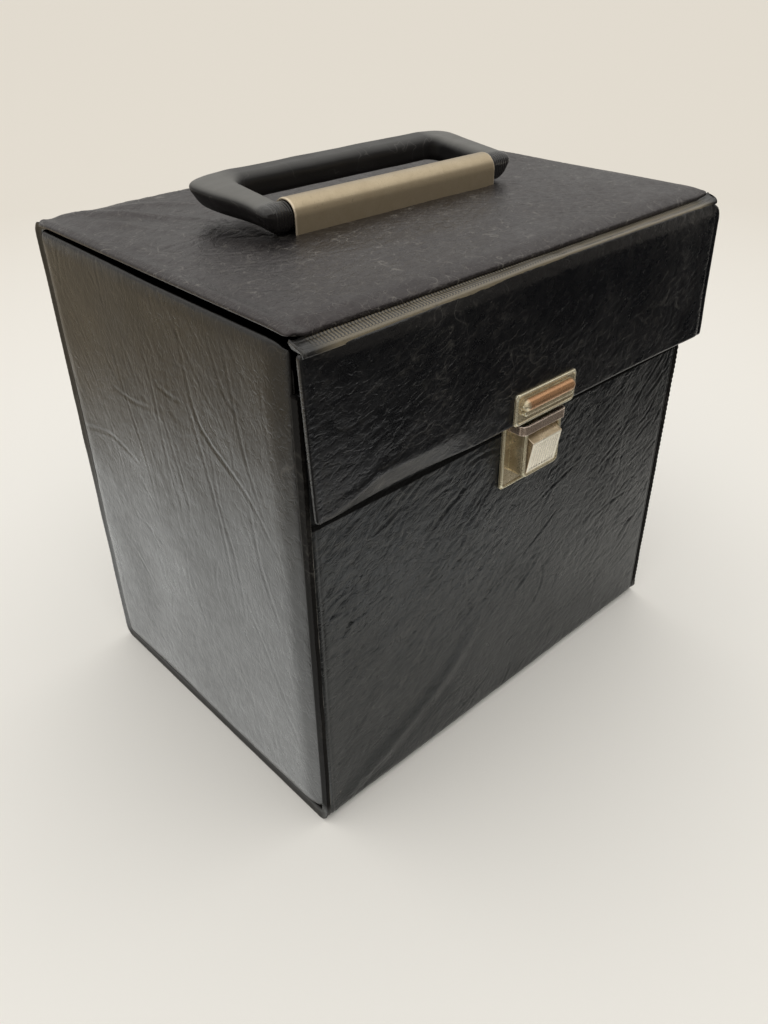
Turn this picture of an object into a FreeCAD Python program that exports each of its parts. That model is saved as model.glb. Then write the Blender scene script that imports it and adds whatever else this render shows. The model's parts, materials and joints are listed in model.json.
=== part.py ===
"""Board-and-vinyl carrying case with a hinged lid, a hanging front flap, a sprung lock and a bail handle.

Frame: millimetres, +Z up, the origin at the centre of the underside, the flap and the lock towards -Y.
The case stands closed, with the flap down and the handle lying back over the lid.
"""
import FreeCAD, Part
import os
import Sketcher
from FreeCAD import Placement, Rotation, Vector

SIZES = [
    # alias, value, what it is
    ("case_wide", 210.0, "outside width"),
    ("case_deep", 154.0, "outside depth of the box"),
    ("case_tall", 202.0, "top of the lid"),
    ("skin", 0.8, "vinyl cover"),
    ("board", 2.4, "greyboard"),
    ("liner", 0.5, "vinyl lining"),
    ("bead", 3.6, "welded edge bead, square side"),
    ("bend", 5.0, "bend of the wrap under the box"),
    ("bend_leg", 5.5, "height of the bend's upright leg"),
    ("front_tall", 181.0, "top of the front panel"),
    ("side_tall", 197.8, "top of the side panels and beads"),
    ("back_tall", 197.2, "top of the back board"),
    ("back_skin_tall", 196.0, "top of the back cover, where the rear strip starts"),
    ("rear_strip_tall", 201.2, "top of the rear hinge strip"),
    ("lid_fore_gap", 0.2, "lid's front edge behind the box's front"),
    ("flap_gap", 2.8, "flap's inside in front of the box's front"),
    ("flap_foot", 142.4, "lower edge of the flap"),
    ("flap_head", 197.4, "upper edge of the flap"),
    ("web", 1.2, "ribbed strip between lid and flap"),
    ("pivot_fore", 6.0, "handle's pivot in front of the middle"),
    ("pivot_tall", 207.5, "height of the handle's pivot"),
    ("pivot_dia", 10.0, "handle's pivot bar"),
    ("play", 0.08, "running clearance round the pivot bar"),
    ("handle_wide", 124.0, "over the arms"),
    ("handle_reach", 39.5, "pivot to the back of the grip"),
    ("handle_thick", 10.0, "through the loop"),
    ("grip_wide", 11.5, "grip, front to back"),
    ("handle_tilt", 7.0, "rise of the loop over the lid, degrees"),
    ("handle_round", 3.8, "rounding along the loop's edges"),
    ("grip_corner", 8.0, "loop's outer rear corners"),
    ("inner_corner", 4.0, "loop's inner rear corners"),
    ("nose_corner", 3.0, "front ends of the arms"),
    ("sleeve_wide", 101.4, "handle bracket"),
    ("sleeve_sheet", 0.9, "bracket metal"),
    ("sleeve_flange", 6.0, "clinched flange under the lid"),
    ("side_gap", 0.3, "handle arm to bracket end"),
    ("slot_gap", 0.1, "bracket leg to its slot"),
    ("strike_wide", 33.3, "strike plate"),
    ("strike_foot", 143.2, "lower edge of the strike plate"),
    ("strike_head", 155.4, "upper edge of the strike plate"),
    ("strike_sheet", 0.9, "strike metal"),
    ("rib_wide", 25.6, "half-round grip on the strike plate"),
    ("rib_tall", 4.2, "half-round grip"),
    ("rib_mid", 150.7, "height of the grip's middle"),
    ("rib_proud", 2.8, "grip in front of the plate"),
    ("lip_proud", 1.5, "lip under the grip"),
    ("base_wide", 28.7, "lock base plate"),
    ("base_foot", 113.7, "lower edge of the lock base plate"),
    ("base_head", 140.3, "upper edge of the lock base plate"),
    ("base_sheet", 1.0, "base plate metal"),
    ("shell_wide", 20.5, "lock housing"),
    ("shell_deep", 6.2, "lock housing, off the base plate"),
    ("shell_foot", 119.9, "lower edge of the housing"),
    ("shell_head", 138.2, "upper edge of the housing"),
    ("shell_wall", 0.9, "housing metal"),
    ("shell_bridge", 1.0, "housing left over the window"),
    ("collar_wide", 24.9, "mouth band"),
    ("collar_deep", 7.5, "mouth band, off the base plate"),
    ("collar_head", 141.8, "upper edge of the mouth band"),
    ("key_wide", 16.5, "wedge button"),
    ("key_foot", 121.5, "lower edge of the button"),
    ("key_head", 134.6, "upper front edge of the button"),
    ("key_gap", 0.35, "button to its window"),
    ("key_pivot_tall", 122.4, "height of the button's pin"),
    ("key_pivot_in", 4.6, "button's pin in front of the base plate"),
    ("key_pin_dia", 1.2, "button's pin"),
    ("rivet_dia", 2.4, "rivet shanks"),
    ("rivet_head_dia", 4.4, "rivet heads"),
    ("rivet_head", 0.7, "thickness of a rivet head"),
    ("rivet_tall", 127.5, "height of the lock's rivets"),
    ("rivet_pitch", 10.0, "between the lock's rivets"),
    ("strike_rivet_pitch", 18.0, "between the strike's rivets"),
    ("plate", 0.8, "backing plates"),
    ("lock_plate_wide", 24.0, "backing plate behind the lock"),
    ("lock_plate_tall", 14.0, "backing plate behind the lock"),
    ("strike_plate_wide", 30.0, "backing plate behind the strike"),
    ("handle_plate_margin", 4.0, "handle's backing plate past the bracket, each end"),
    ("edge_round", 0.7, "rounded edges of the covers and the housing's rim"),
    ("plate_corner", 1.2, "corners of the base and strike plates"),
    ("shell_corner", 2.2, "lower corners of the housing"),
    ("collar_corner", 2.6, "front corners of the mouth band"),
    ("key_foot_proud", 0.6, "wedge's lower edge in front of the housing"),
    ("key_head_proud", 2.8, "wedge's upper edge in front of the housing"),
    ("key_flange", 0.8, "thickness of the button's flange"),
    ("flange_gap", 0.3, "button's flange to the housing"),
    ("ledge_rise", 2.0, "wedge's ledge over its front edge"),
    ("spring_leaf", 0.3, "thickness of the leaf spring"),
    ("spring_wide", 3.6, "leaf spring"),
    ("cut_past", 1.0, "how far a cut runs past what it opens"),
]

doc = FreeCAD.newDocument("carrying_case")
sheet = doc.addObject("Spreadsheet::Sheet", "Sizes")
for row, (alias, number, note) in enumerate(SIZES, start=1):
    sheet.set(f"A{row}", alias)
    sheet.set(f"B{row}", str(number))
    sheet.set(f"C{row}", note)
    sheet.setAlias(f"B{row}", alias)
doc.recompute()


class Length:
    """A number together with the spreadsheet expression that it comes from."""

    def __init__(self, number, text=None):
        self.number = float(number)
        self.text = text or f"({number})"

    def __add__(self, other):
        other = length(other)
        return Length(self.number + other.number, f"({self.text} + {other.text})")

    def __sub__(self, other):
        other = length(other)
        return Length(self.number - other.number, f"({self.text} - {other.text})")

    def __mul__(self, factor):
        return Length(self.number * factor, f"({self.text} * {factor})")

    def __truediv__(self, divisor):
        return Length(self.number / divisor, f"({self.text} / {divisor})")

    def __neg__(self):
        return Length(-self.number, f"(0 - {self.text})")


def length(value):
    return value if isinstance(value, Length) else Length(value)


def cell(alias):
    return Length(getattr(sheet, alias), f"Sizes.{alias}")


S = {alias: cell(alias) for alias, number, note in SIZES}

# Planes that many pieces share.
HALF = S["case_wide"] / 2
FRONT = -S["case_deep"] / 2
BACK = S["case_deep"] / 2
PANEL = S["skin"] + S["board"]
STACK = PANEL + S["liner"]
INSET = HALF - S["bead"]
LID_UNDER = S["case_tall"] - STACK
LID_FRONT = FRONT + S["lid_fore_gap"]
LID_BACK = BACK - S["skin"]
FLAP_IN = FRONT - S["flap_gap"]
FLAP_OUT = FLAP_IN - STACK
BASE_FACE = FRONT - S["base_sheet"]
SHELL_FACE = BASE_FACE - S["shell_deep"]
PLATE_IN = FRONT + STACK

nodes = []


def keep(thing, name):
    thing.Label = name
    nodes.append(thing)
    return thing


# ---------------------------------------------------------------- plain plates

def plate(name, x, y, z):
    """A plate between two x, two y and two z planes."""
    box = keep(doc.addObject("Part::Box", name), name)
    for size, (low, high) in (("Length", x), ("Width", y), ("Height", z)):
        box.setExpression(size, (length(high) - low).text)
    for axis, (low, high) in (("x", x), ("y", y), ("z", z)):
        box.setExpression(f"Placement.Base.{axis}", length(low).text)


# ---------------------------------------------------------------- sketched solids

PLANES = {"X": ("YZ_Plane", 1), "Y": ("XZ_Plane", -1), "Z": ("XY_Plane", 1)}


def sketch_on(body, axis, along, label):
    """An empty sketch square to the axis; along is its place on the sketch's own normal."""
    role = PLANES[axis][0]
    plane = next(part for part in body.Origin.OriginFeatures if part.Role == role)
    sketch = body.newObject("Sketcher::SketchObject", f"{body.Name}_{label}")
    sketch.AttachmentSupport = [(plane, "")]
    sketch.MapMode = "FlatFace"
    sketch.setExpression("AttachmentOffset.Base.z", along.text)
    return sketch


def hold(sketch, kind, geometry, point, value, name):
    """Ties one coordinate of a point to its formula, or to the sketch's axis where that is zero."""
    if abs(value.number) < 1e-9:
        other_axis = -2 if kind == "DistanceX" else -1
        sketch.addConstraint(Sketcher.Constraint("PointOnObject", geometry, point, other_axis))
        return
    index = sketch.addConstraint(Sketcher.Constraint(kind, -1, 1, geometry, point, value.number))
    sketch.renameConstraint(index, name)
    sketch.setExpression(f"Constraints.{name}", value.text)


def draw_polygon(sketch, points):
    points = [(length(u), length(v)) for u, v in points]
    corners = [Vector(u.number, v.number, 0) for u, v in points]
    count = len(corners)
    for index in range(count):
        sketch.addGeometry(Part.LineSegment(corners[index], corners[(index + 1) % count]), False)
    for index in range(count):
        sketch.addConstraint(Sketcher.Constraint("Coincident", index, 2, (index + 1) % count, 1))
    for index, (u, v) in enumerate(points):
        hold(sketch, "DistanceX", index, 1, u, f"across{index}")
        hold(sketch, "DistanceY", index, 1, v, f"up{index}")


def draw_circle(sketch, centre, diameter):
    u, v = (length(part) for part in centre)
    diameter = length(diameter)
    middle = Vector(u.number, v.number, 0)
    index = sketch.addGeometry(Part.Circle(middle, Vector(0, 0, 1), diameter.number / 2), False)
    hold(sketch, "DistanceX", index, 3, u, f"across{index}")
    hold(sketch, "DistanceY", index, 3, v, f"up{index}")
    size = sketch.addConstraint(Sketcher.Constraint("Diameter", index, diameter.number))
    sketch.renameConstraint(size, f"wide{index}")
    sketch.setExpression(f"Constraints.wide{index}", diameter.text)


def draw(sketch, shape):
    """A shape is a list of corners, or a list of circles as (centre, diameter)."""
    if "circles" in shape:
        for centre, diameter in shape["circles"]:
            draw_circle(sketch, centre, diameter)
    else:
        draw_polygon(sketch, shape["corners"])


def rectangle(u, v):
    return {"corners": [(u[0], v[0]), (u[1], v[0]), (u[1], v[1]), (u[0], v[1])]}


def polygon(*corners):
    return {"corners": list(corners)}


def circles(*spots):
    return {"circles": list(spots)}


def pad(body, axis, span, shape, label="pad"):
    """Adds the shape between two planes square to the axis."""
    low, high = (length(end) for end in span)
    forward = PLANES[axis][1] > 0
    sketch = sketch_on(body, axis, low if forward else -high, f"{label}_sketch")
    draw(sketch, shape)
    feature = body.newObject("PartDesign::Pad", f"{body.Name}_{label}")
    feature.Profile = sketch
    feature.setExpression("Length", (high - low).text)
    doc.recompute()
    return feature


def pocket(body, axis, span, shape, label="pocket"):
    """Cuts the shape between two planes square to the axis, and makes sure that it cut."""
    low, high = (length(end) for end in span)
    forward = PLANES[axis][1] > 0
    before = body.Tip.Shape.Volume
    sketch = sketch_on(body, axis, high if forward else -low, f"{label}_sketch")
    draw(sketch, shape)
    feature = body.newObject("PartDesign::Pocket", f"{body.Name}_{label}")
    feature.Profile = sketch
    feature.setExpression("Length", (high - low).text)
    doc.recompute()
    if not feature.Shape.Volume < before - 1e-6:
        raise RuntimeError(f"{feature.Name} cut nothing")
    return feature


def at(edge, **planes):
    """Whether all of an edge lies in the given planes, such as x=5."""
    box = edge.BoundBox
    ends = {"x": (box.XMin, box.XMax), "y": (box.YMin, box.YMax), "z": (box.ZMin, box.ZMax)}
    near = 1e-4
    return all(
        abs(end - length(value).number) < near
        for axis, value in planes.items()
        for end in ends[axis]
    )


def soften(body, radius, wanted, label="fillet"):
    """Rounds those edges of the body so far that wanted(edge) picks."""
    base = body.Tip
    names = [f"Edge{number}" for number, edge in enumerate(base.Shape.Edges, start=1) if wanted(edge)]
    feature = body.newObject("PartDesign::Fillet", f"{body.Name}_{label}")
    feature.Base = (base, names)
    feature.setExpression("Radius", length(radius).text)
    doc.recompute()
    return feature


def new_body(name):
    return keep(doc.addObject("PartDesign::Body", name), name)


# ---------------------------------------------------------------- the box

def box_panels():
    # layer: outer and inner depth, lower edge, top at the back, half width between the sides
    layers = {
        "cover": (length(0), S["skin"], S["bend_leg"], S["back_skin_tall"], INSET),
        "board": (S["skin"], PANEL, S["bend_leg"], S["back_tall"], INSET),
        "lining": (PANEL, STACK, PANEL, S["back_tall"], HALF - STACK),
    }
    for layer, (outer, inner, low, back_top, half) in layers.items():
        plate(f"back_{layer}", (-half, half), (BACK - inner, BACK - outer), (low, back_top))
        front_panel(f"front_{layer}", half, (FRONT + outer, FRONT + inner), (low, S["front_tall"]))
        for side, name in ((-1, f"left_side_{layer}"), (1, f"right_side_{layer}")):
            side_panel(name, side, outer, inner)
    inside = HALF - STACK
    plate("bottom_board", (-INSET, INSET), (FRONT + S["bend"], BACK - S["bend"]), (S["skin"], PANEL))
    plate("bottom_lining", (-inside, inside), (FRONT + STACK, BACK - STACK), (PANEL, STACK))
    bottom_cover()


def lock_rivet_spots():
    half = S["rivet_pitch"] / 2
    return [((-half, S["rivet_tall"]), S["rivet_dia"]), ((half, S["rivet_tall"]), S["rivet_dia"])]


def front_panel(name, half, y, z):
    """A layer of the front, drilled for the lock's rivets."""
    body = new_body(name)
    pad(body, "Y", y, rectangle((-half, half), z))
    pocket(body, "Y", y, circles(*lock_rivet_spots()), "rivet_holes")


def side_panel(name, side, outer, inner):
    """A layer of a side panel, its lower corners rounded to sit inside the bead."""
    near = HALF - inner
    far = HALF - outer
    body = new_body(name)
    span = (near, far) if side > 0 else (-far, -near)
    reach = BACK - S["bead"]
    pad(body, "X", span, rectangle((-reach, reach), (S["bead"], S["side_tall"])))
    corner = S["bend"] - S["bead"]
    soften(body, corner, lambda edge: at(edge, y=reach, z=S["bead"]) or at(edge, y=-reach, z=S["bead"]))


def bottom_cover():
    """The wrap under the box, bent up at the front and the back."""
    body = new_body("bottom_cover")
    inside = BACK - S["skin"]
    profile = polygon(
        (FRONT, S["bend_leg"]), (FRONT, 0), (BACK, 0), (BACK, S["bend_leg"]),
        (inside, S["bend_leg"]), (inside, S["skin"]), (-inside, S["skin"]), (-inside, S["bend_leg"]),
    )
    pad(body, "X", (-INSET, INSET), profile)
    soften(body, S["bend"], lambda edge: at(edge, y=FRONT, z=0) or at(edge, y=BACK, z=0), "outer_bend")
    soften(body, S["bend"] - S["skin"],
           lambda edge: at(edge, y=inside, z=S["skin"]) or at(edge, y=-inside, z=S["skin"]), "inner_bend")


def edge_bead(name, side):
    """The welded bead round three sides of a side panel."""
    body = new_body(name)
    inside = BACK - S["bead"]
    profile = polygon(
        (FRONT, S["side_tall"]), (FRONT, 0), (BACK, 0), (BACK, S["side_tall"]),
        (inside, S["side_tall"]), (inside, S["bead"]), (-inside, S["bead"]), (-inside, S["side_tall"]),
    )
    span = (INSET, HALF) if side > 0 else (-HALF, -INSET)
    pad(body, "X", span, profile)
    soften(body, S["bend"], lambda edge: at(edge, y=FRONT, z=0) or at(edge, y=BACK, z=0), "outer_bend")
    soften(body, S["bend"] - S["bead"],
           lambda edge: at(edge, y=inside, z=S["bead"]) or at(edge, y=-inside, z=S["bead"]), "inner_bend")
    outside = HALF * side
    soften(body, S["bead"] * 0.4, lambda edge: at(edge, x=outside) and follows_outline(edge), "round")


def follows_outline(edge):
    """Whether an edge runs along the outside of the box's own front, foot or back."""
    box = edge.BoundBox
    half_deep = BACK.number
    bend = S["bend"].number
    upright = abs(abs(box.Center.y) - half_deep) < 1e-4
    flat = box.ZMax < 1e-4
    in_corner = box.ZMax < bend + 1e-4 and abs(box.Center.y) > half_deep - bend
    outer_arc = in_corner and box.ZMin < 1e-4
    return (upright or flat or outer_arc) and box.DiagonalLength > bend


# ---------------------------------------------------------------- the lock on the box

def lock_base_plate():
    body = new_body("lock_base_plate")
    half = S["base_wide"] / 2
    y = (BASE_FACE, FRONT)
    pad(body, "Y", y, rectangle((-half, half), (S["base_foot"], S["base_head"])))
    soften(body, S["plate_corner"], lambda edge: edge_runs(edge, "y"), "corners")
    pocket(body, "Y", y, circles(*lock_rivet_spots()), "rivet_holes")


def edge_runs(edge, axis):
    """Whether an edge is straight along the axis."""
    box = edge.BoundBox
    spans = {"x": box.XLength, "y": box.YLength, "z": box.ZLength}
    along = spans.pop(axis)
    return along > 1e-3 and all(span < 1e-4 for span in spans.values())


def lock_housing():
    """A drawn shell, open at the back and the top, with a window for the button."""
    body = new_body("lock_housing")
    half = S["shell_wide"] / 2
    inner = half - S["shell_wall"]
    inner_face = SHELL_FACE + S["shell_wall"]
    pad(body, "Y", (SHELL_FACE, BASE_FACE), rectangle((-half, half), (S["shell_foot"], S["shell_head"])))
    soften(body, S["shell_corner"],
           lambda edge: edge_runs(edge, "y") and at(edge, z=S["shell_foot"]), "corners")
    rim = SHELL_FACE.number
    soften(body, S["edge_round"],
           lambda edge: at(edge, y=rim) and not at(edge, z=S["shell_head"]), "rim")
    past = S["cut_past"]
    cavity_foot = S["shell_foot"] + S["shell_wall"]
    pocket(body, "Y", (inner_face, BASE_FACE),
           rectangle((-inner, inner), (cavity_foot, S["shell_head"] + past)), "cavity")
    window = S["key_wide"] / 2 + S["key_gap"]
    window_foot = S["key_foot"] - S["key_gap"]
    pocket(body, "Y", (SHELL_FACE - past, inner_face),
           rectangle((-window, window), (window_foot, S["shell_head"] - S["shell_bridge"])), "window")


def lock_collar():
    """The band round the lock's mouth: a front wall, two cheeks and a floor pierced over the housing."""
    body = new_body("lock_collar")
    half = S["collar_wide"] / 2
    inner = half - S["shell_wall"]
    face = BASE_FACE - S["collar_deep"]
    bore = S["shell_wide"] / 2 - S["shell_wall"]
    pad(body, "Z", (S["shell_head"], S["collar_head"]), rectangle((-half, half), (face, BASE_FACE)))
    soften(body, S["collar_corner"], lambda edge: edge_runs(edge, "z") and at(edge, y=face), "corners")
    pocket(body, "Z", (S["shell_head"] + S["shell_wall"], S["collar_head"]),
           rectangle((-inner, inner), (face + S["shell_wall"], BASE_FACE)), "mouth")
    pocket(body, "Z", (S["shell_head"], S["shell_head"] + S["shell_wall"]),
           rectangle((-bore, bore), (SHELL_FACE + S["shell_wall"], BASE_FACE)), "throat")


def round_bar(name, x, spot, diameter):
    """A straight pin along x."""
    pad(new_body(name), "X", x, circles((spot, diameter)))


KEY_PIVOT = (BASE_FACE - S["key_pivot_in"], S["key_pivot_tall"])


def lock_button():
    """A wedge that leans out at the top, on a flange that keeps it inside the housing."""
    body = new_body("lock_button")
    half = S["key_wide"] / 2
    flange_face = SHELL_FACE + S["shell_wall"] + S["flange_gap"]
    flange_back = flange_face + S["key_flange"]
    flange_half = S["shell_wide"] / 2 - S["shell_wall"] - S["flange_gap"]
    ledge = S["key_head"] + S["ledge_rise"]
    wedge = polygon(
        (SHELL_FACE - S["key_foot_proud"], S["key_foot"]), (SHELL_FACE - S["key_head_proud"], S["key_head"]),
        (flange_face, ledge), (flange_back, ledge), (flange_back, S["key_foot"]),
    )
    pad(body, "X", (-half, half), wedge, "wedge")
    foot_rise = 0.2
    flange_rise = 0.8
    pad(body, "X", (-flange_half, flange_half),
        rectangle((flange_face, flange_back), (S["key_foot"] + foot_rise, ledge + flange_rise)), "flange")
    catch_half = 3.0
    catch_deep = 1.0
    catch_low = S["key_head"] + 0.4
    catch_high = S["key_head"] + 2.6
    catch = polygon(
        (flange_back, catch_low), (flange_back + catch_deep, catch_low), (flange_back, catch_high),
    )
    pad(body, "X", (-catch_half, catch_half), catch, "catch")
    knuckle_wall = 1.2
    pin_play = 0.1
    knuckle = circles((KEY_PIVOT, S["key_pin_dia"] + knuckle_wall))
    pad(body, "X", (-half, half), knuckle, "knuckle")
    past = half + S["cut_past"]
    pocket(body, "X", (-past, past), circles((KEY_PIVOT, S["key_pin_dia"] + pin_play)), "pin_hole")


def lock_spring():
    """A bent leaf between the base plate and the back of the button."""
    body = new_body("lock_spring")
    face = BASE_FACE
    leaf = S["spring_leaf"]
    tip = SHELL_FACE + S["shell_wall"] + 1.15
    foot = S["key_foot"] + 2.0
    outer_bend = S["key_head"] - 1.4
    inner_bend = S["key_head"] - 1.7
    tip_high = S["key_head"] - 5.0
    tip_low = tip_high - 0.5
    knee = (face - 0.2, S["key_head"] - 1.0)
    profile = polygon(
        (face, foot), (face, outer_bend), knee, (tip, tip_high), (tip, tip_low),
        (face - leaf, inner_bend), (face - leaf, foot),
    )
    half = S["spring_wide"] / 2
    pad(body, "X", (-half, half), profile)


def rivets(name, face, tail, spots, heads):
    """Shanks between two planes along y; heads lists the (low, high) spans of the heads."""
    body = new_body(name)
    pad(body, "Y", (face, tail), circles(*[(spot, S["rivet_dia"]) for spot in spots]), "shanks")
    for number, span in enumerate(heads):
        pad(body, "Y", span, circles(*[(spot, S["rivet_head_dia"]) for spot in spots]), f"heads{number}")


def backing_plate(name, x_half, y, z, spots):
    body = new_body(name)
    pad(body, "Y", y, rectangle((-x_half, x_half), z))
    pocket(body, "Y", y, circles(*[(spot, S["rivet_dia"]) for spot in spots]), "rivet_holes")
    return body


def lock():
    lock_base_plate()
    lock_housing()
    lock_collar()
    lock_button()
    bore = S["shell_wide"] / 2 - S["shell_wall"]
    round_bar("button_pin", (-bore, bore), KEY_PIVOT, S["key_pin_dia"])
    lock_spring()
    spots = [spot for spot, diameter in lock_rivet_spots()]
    plate_face = PLATE_IN + S["plate"]
    half_wide = S["lock_plate_wide"] / 2
    half_tall = S["lock_plate_tall"] / 2
    backing_plate("lock_backing_plate", half_wide, (PLATE_IN, plate_face),
                  (S["rivet_tall"] - half_tall, S["rivet_tall"] + half_tall), spots)
    rivets("lock_rivets", BASE_FACE, plate_face, spots,
           [(BASE_FACE - S["rivet_head"], BASE_FACE), (plate_face, plate_face + S["rivet_head"])])


# ---------------------------------------------------------------- the lid

def leg_slots():
    """The two slots through the lid that the bracket's legs pass."""
    half = S["sleeve_wide"] / 2 + S["slot_gap"]
    front, back = bracket_faces()
    sheet_metal = S["sleeve_sheet"]
    gap = S["slot_gap"]
    return [
        rectangle((-half, half), (front - gap, front + sheet_metal + gap)),
        rectangle((-half, half), (back - sheet_metal - gap, back + gap)),
    ]


def bracket_faces():
    """The bracket's outer front and back planes."""
    reach = S["pivot_dia"] / 2 + S["play"] + S["sleeve_sheet"]
    return -S["pivot_fore"] - reach, -S["pivot_fore"] + reach


def slotted(body, z):
    for number, slot in enumerate(leg_slots()):
        pocket(body, "Z", z, slot, f"slot{number}")


def lid():
    x_in = HALF - S["skin"]
    y_in = (LID_FRONT + S["skin"], LID_BACK - S["skin"])
    board_under = S["case_tall"] - PANEL
    cover = new_body("lid_cover")
    pad(cover, "Z", (board_under, S["case_tall"]), rectangle((-HALF, HALF), (LID_FRONT, LID_BACK)))
    pocket(cover, "Z", (board_under, S["case_tall"] - S["skin"]), rectangle((-x_in, x_in), y_in), "tray")
    slotted(cover, (S["case_tall"] - S["skin"], S["case_tall"]))
    rim_long = 140
    soften(cover, S["edge_round"],
           lambda edge: at(edge, z=S["case_tall"]) and edge.BoundBox.DiagonalLength > rim_long, "edge")

    lid_board = new_body("lid_board")
    z = (board_under, S["case_tall"] - S["skin"])
    pad(lid_board, "Z", z, rectangle((-x_in, x_in), y_in))
    slotted(lid_board, z)

    lining = new_body("lid_lining")
    z = (LID_UNDER, board_under)
    pad(lining, "Z", z, rectangle((-HALF, HALF), (LID_FRONT, LID_BACK)))
    slotted(lining, z)

    plate("rear_hinge_strip", (-INSET, INSET), (LID_BACK, BACK), (S["back_skin_tall"], S["rear_strip_tall"]))
    handle_bracket()
    backing = new_body("handle_backing_plate")
    z = (LID_UNDER - S["plate"], LID_UNDER)
    front, back = bracket_faces()
    half = S["sleeve_wide"] / 2 + S["handle_plate_margin"]
    margin = S["sleeve_flange"] + S["handle_plate_margin"] / 2
    pad(backing, "Z", z, rectangle((-half, half), (front - margin, back + margin)))
    slotted(backing, z)


def handle_bracket():
    """Sheet folded over the pivot bar, its legs through the lid and clinched outwards below it."""
    body = new_body("handle_bracket")
    front, back = bracket_faces()
    metal = S["sleeve_sheet"]
    flange = S["sleeve_flange"]
    top = S["pivot_tall"] + S["pivot_dia"] / 2 + S["play"] + metal
    under = LID_UNDER - S["plate"]
    profile = polygon(
        (front - flange, under - metal), (front + metal, under - metal),
        (front + metal, top - metal), (back - metal, top - metal),
        (back - metal, under - metal), (back + flange, under - metal),
        (back + flange, under), (back, under), (back, top), (front, top),
        (front, under), (front - flange, under),
    )
    half = S["sleeve_wide"] / 2
    pad(body, "X", (-half, half), profile)
    short = 0.05
    soften(body, S["pivot_dia"] / 2 + metal - short * 2,
           lambda edge: at(edge, y=front, z=top) or at(edge, y=back, z=top), "outer_bend")
    inner_top = top - metal
    soften(body, S["pivot_dia"] / 2 - short,
           lambda edge: at(edge, y=front + metal, z=inner_top) or at(edge, y=back - metal, z=inner_top),
           "inner_bend")


# ---------------------------------------------------------------- the flap

def strike_rivet_spots():
    half = S["strike_rivet_pitch"] / 2
    return [(-half, S["rib_mid"]), (half, S["rib_mid"])]


def flap():
    x_in = HALF - S["skin"]
    z_in = (S["flap_foot"] + S["skin"], S["flap_head"] - S["skin"])
    board_in = FLAP_OUT + PANEL
    holes = circles(*[(spot, S["rivet_dia"]) for spot in strike_rivet_spots()])

    cover = new_body("flap_cover")
    pad(cover, "Y", (FLAP_OUT, board_in), rectangle((-HALF, HALF), (S["flap_foot"], S["flap_head"])))
    pocket(cover, "Y", (FLAP_OUT + S["skin"], board_in), rectangle((-x_in, x_in), z_in), "tray")
    pocket(cover, "Y", (FLAP_OUT, FLAP_OUT + S["skin"]), holes, "rivet_holes")
    rim_long = 20
    soften(cover, S["edge_round"],
           lambda edge: at(edge, y=FLAP_OUT) and edge.BoundBox.DiagonalLength > rim_long, "edge")

    flap_board = new_body("flap_board")
    y = (FLAP_OUT + S["skin"], board_in)
    pad(flap_board, "Y", y, rectangle((-x_in, x_in), z_in))
    pocket(flap_board, "Y", y, holes, "rivet_holes")

    lining = new_body("flap_lining")
    y = (board_in, FLAP_IN)
    pad(lining, "Y", y, rectangle((-HALF, HALF), (S["flap_foot"], S["flap_head"])))
    pocket(lining, "Y", y, holes, "rivet_holes")

    crease = new_body("crease_strip")
    lean = S["web"]
    top = S["case_tall"] - lean / 2
    nose = FLAP_OUT + 0.2
    shoulder = (FLAP_OUT + 0.7, S["flap_head"] + 0.9)
    profile = polygon(
        (LID_FRONT, top), (LID_FRONT, top - lean), (FLAP_OUT + lean * 1.2, S["flap_head"]),
        (nose, S["flap_head"]), shoulder,
    )
    pad(crease, "X", (-HALF, HALF), profile)
    strike()


def strike():
    """The plate on the flap with its half-round grip, lip and tongue."""
    body = new_body("strike_plate")
    half = S["strike_wide"] / 2
    face = FLAP_OUT - S["strike_sheet"]
    foot = S["strike_foot"]
    pad(body, "Y", (face, FLAP_OUT), rectangle((-half, half), (foot, S["strike_head"])))
    soften(body, S["plate_corner"], lambda edge: edge_runs(edge, "y"), "corners")

    rib_half = S["rib_wide"] / 2
    low = S["rib_mid"] - S["rib_tall"] / 2
    high = S["rib_mid"] + S["rib_tall"] / 2
    crest = face - S["rib_proud"]
    pad(body, "Y", (crest, face), rectangle((-rib_half, rib_half), (low, high)), "rib")
    soften(body, S["rib_tall"] * 0.45, lambda edge: at(edge, y=crest), "rib_round")
    lip_half = rib_half + 0.4
    lip_foot = low - 1.1
    lip_head = low - 0.3
    lip_face = face - S["lip_proud"]
    pad(body, "Y", (lip_face, face), rectangle((-lip_half, lip_half), (lip_foot, lip_head)), "lip")

    plate_back = FLAP_IN + S["plate"]
    tongue_reach = 0.3
    backing_half = S["strike_plate_wide"] / 2
    backing = backing_plate("strike_backing_plate", backing_half, (FLAP_IN, plate_back),
                            (S["flap_foot"] - tongue_reach, S["strike_head"]), strike_rivet_spots())
    tongue_narrower = 2
    tongue_half = S["shell_wide"] / 2 - tongue_narrower
    past = backing_half + S["cut_past"]
    cut_top = S["flap_foot"] + S["cut_past"]
    cut_foot = S["flap_foot"] - S["cut_past"]
    for side, label in ((-1, "left_cut"), (1, "right_cut")):
        ends = (tongue_half, past) if side > 0 else (-past, -tongue_half)
        pocket(backing, "Y", (FLAP_IN, plate_back), rectangle(ends, (cut_foot, cut_top)), label)
    rivets("strike_rivets", FLAP_OUT, plate_back, strike_rivet_spots(),
           [(plate_back, plate_back + S["rivet_head"])])


# ---------------------------------------------------------------- the handle

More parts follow.
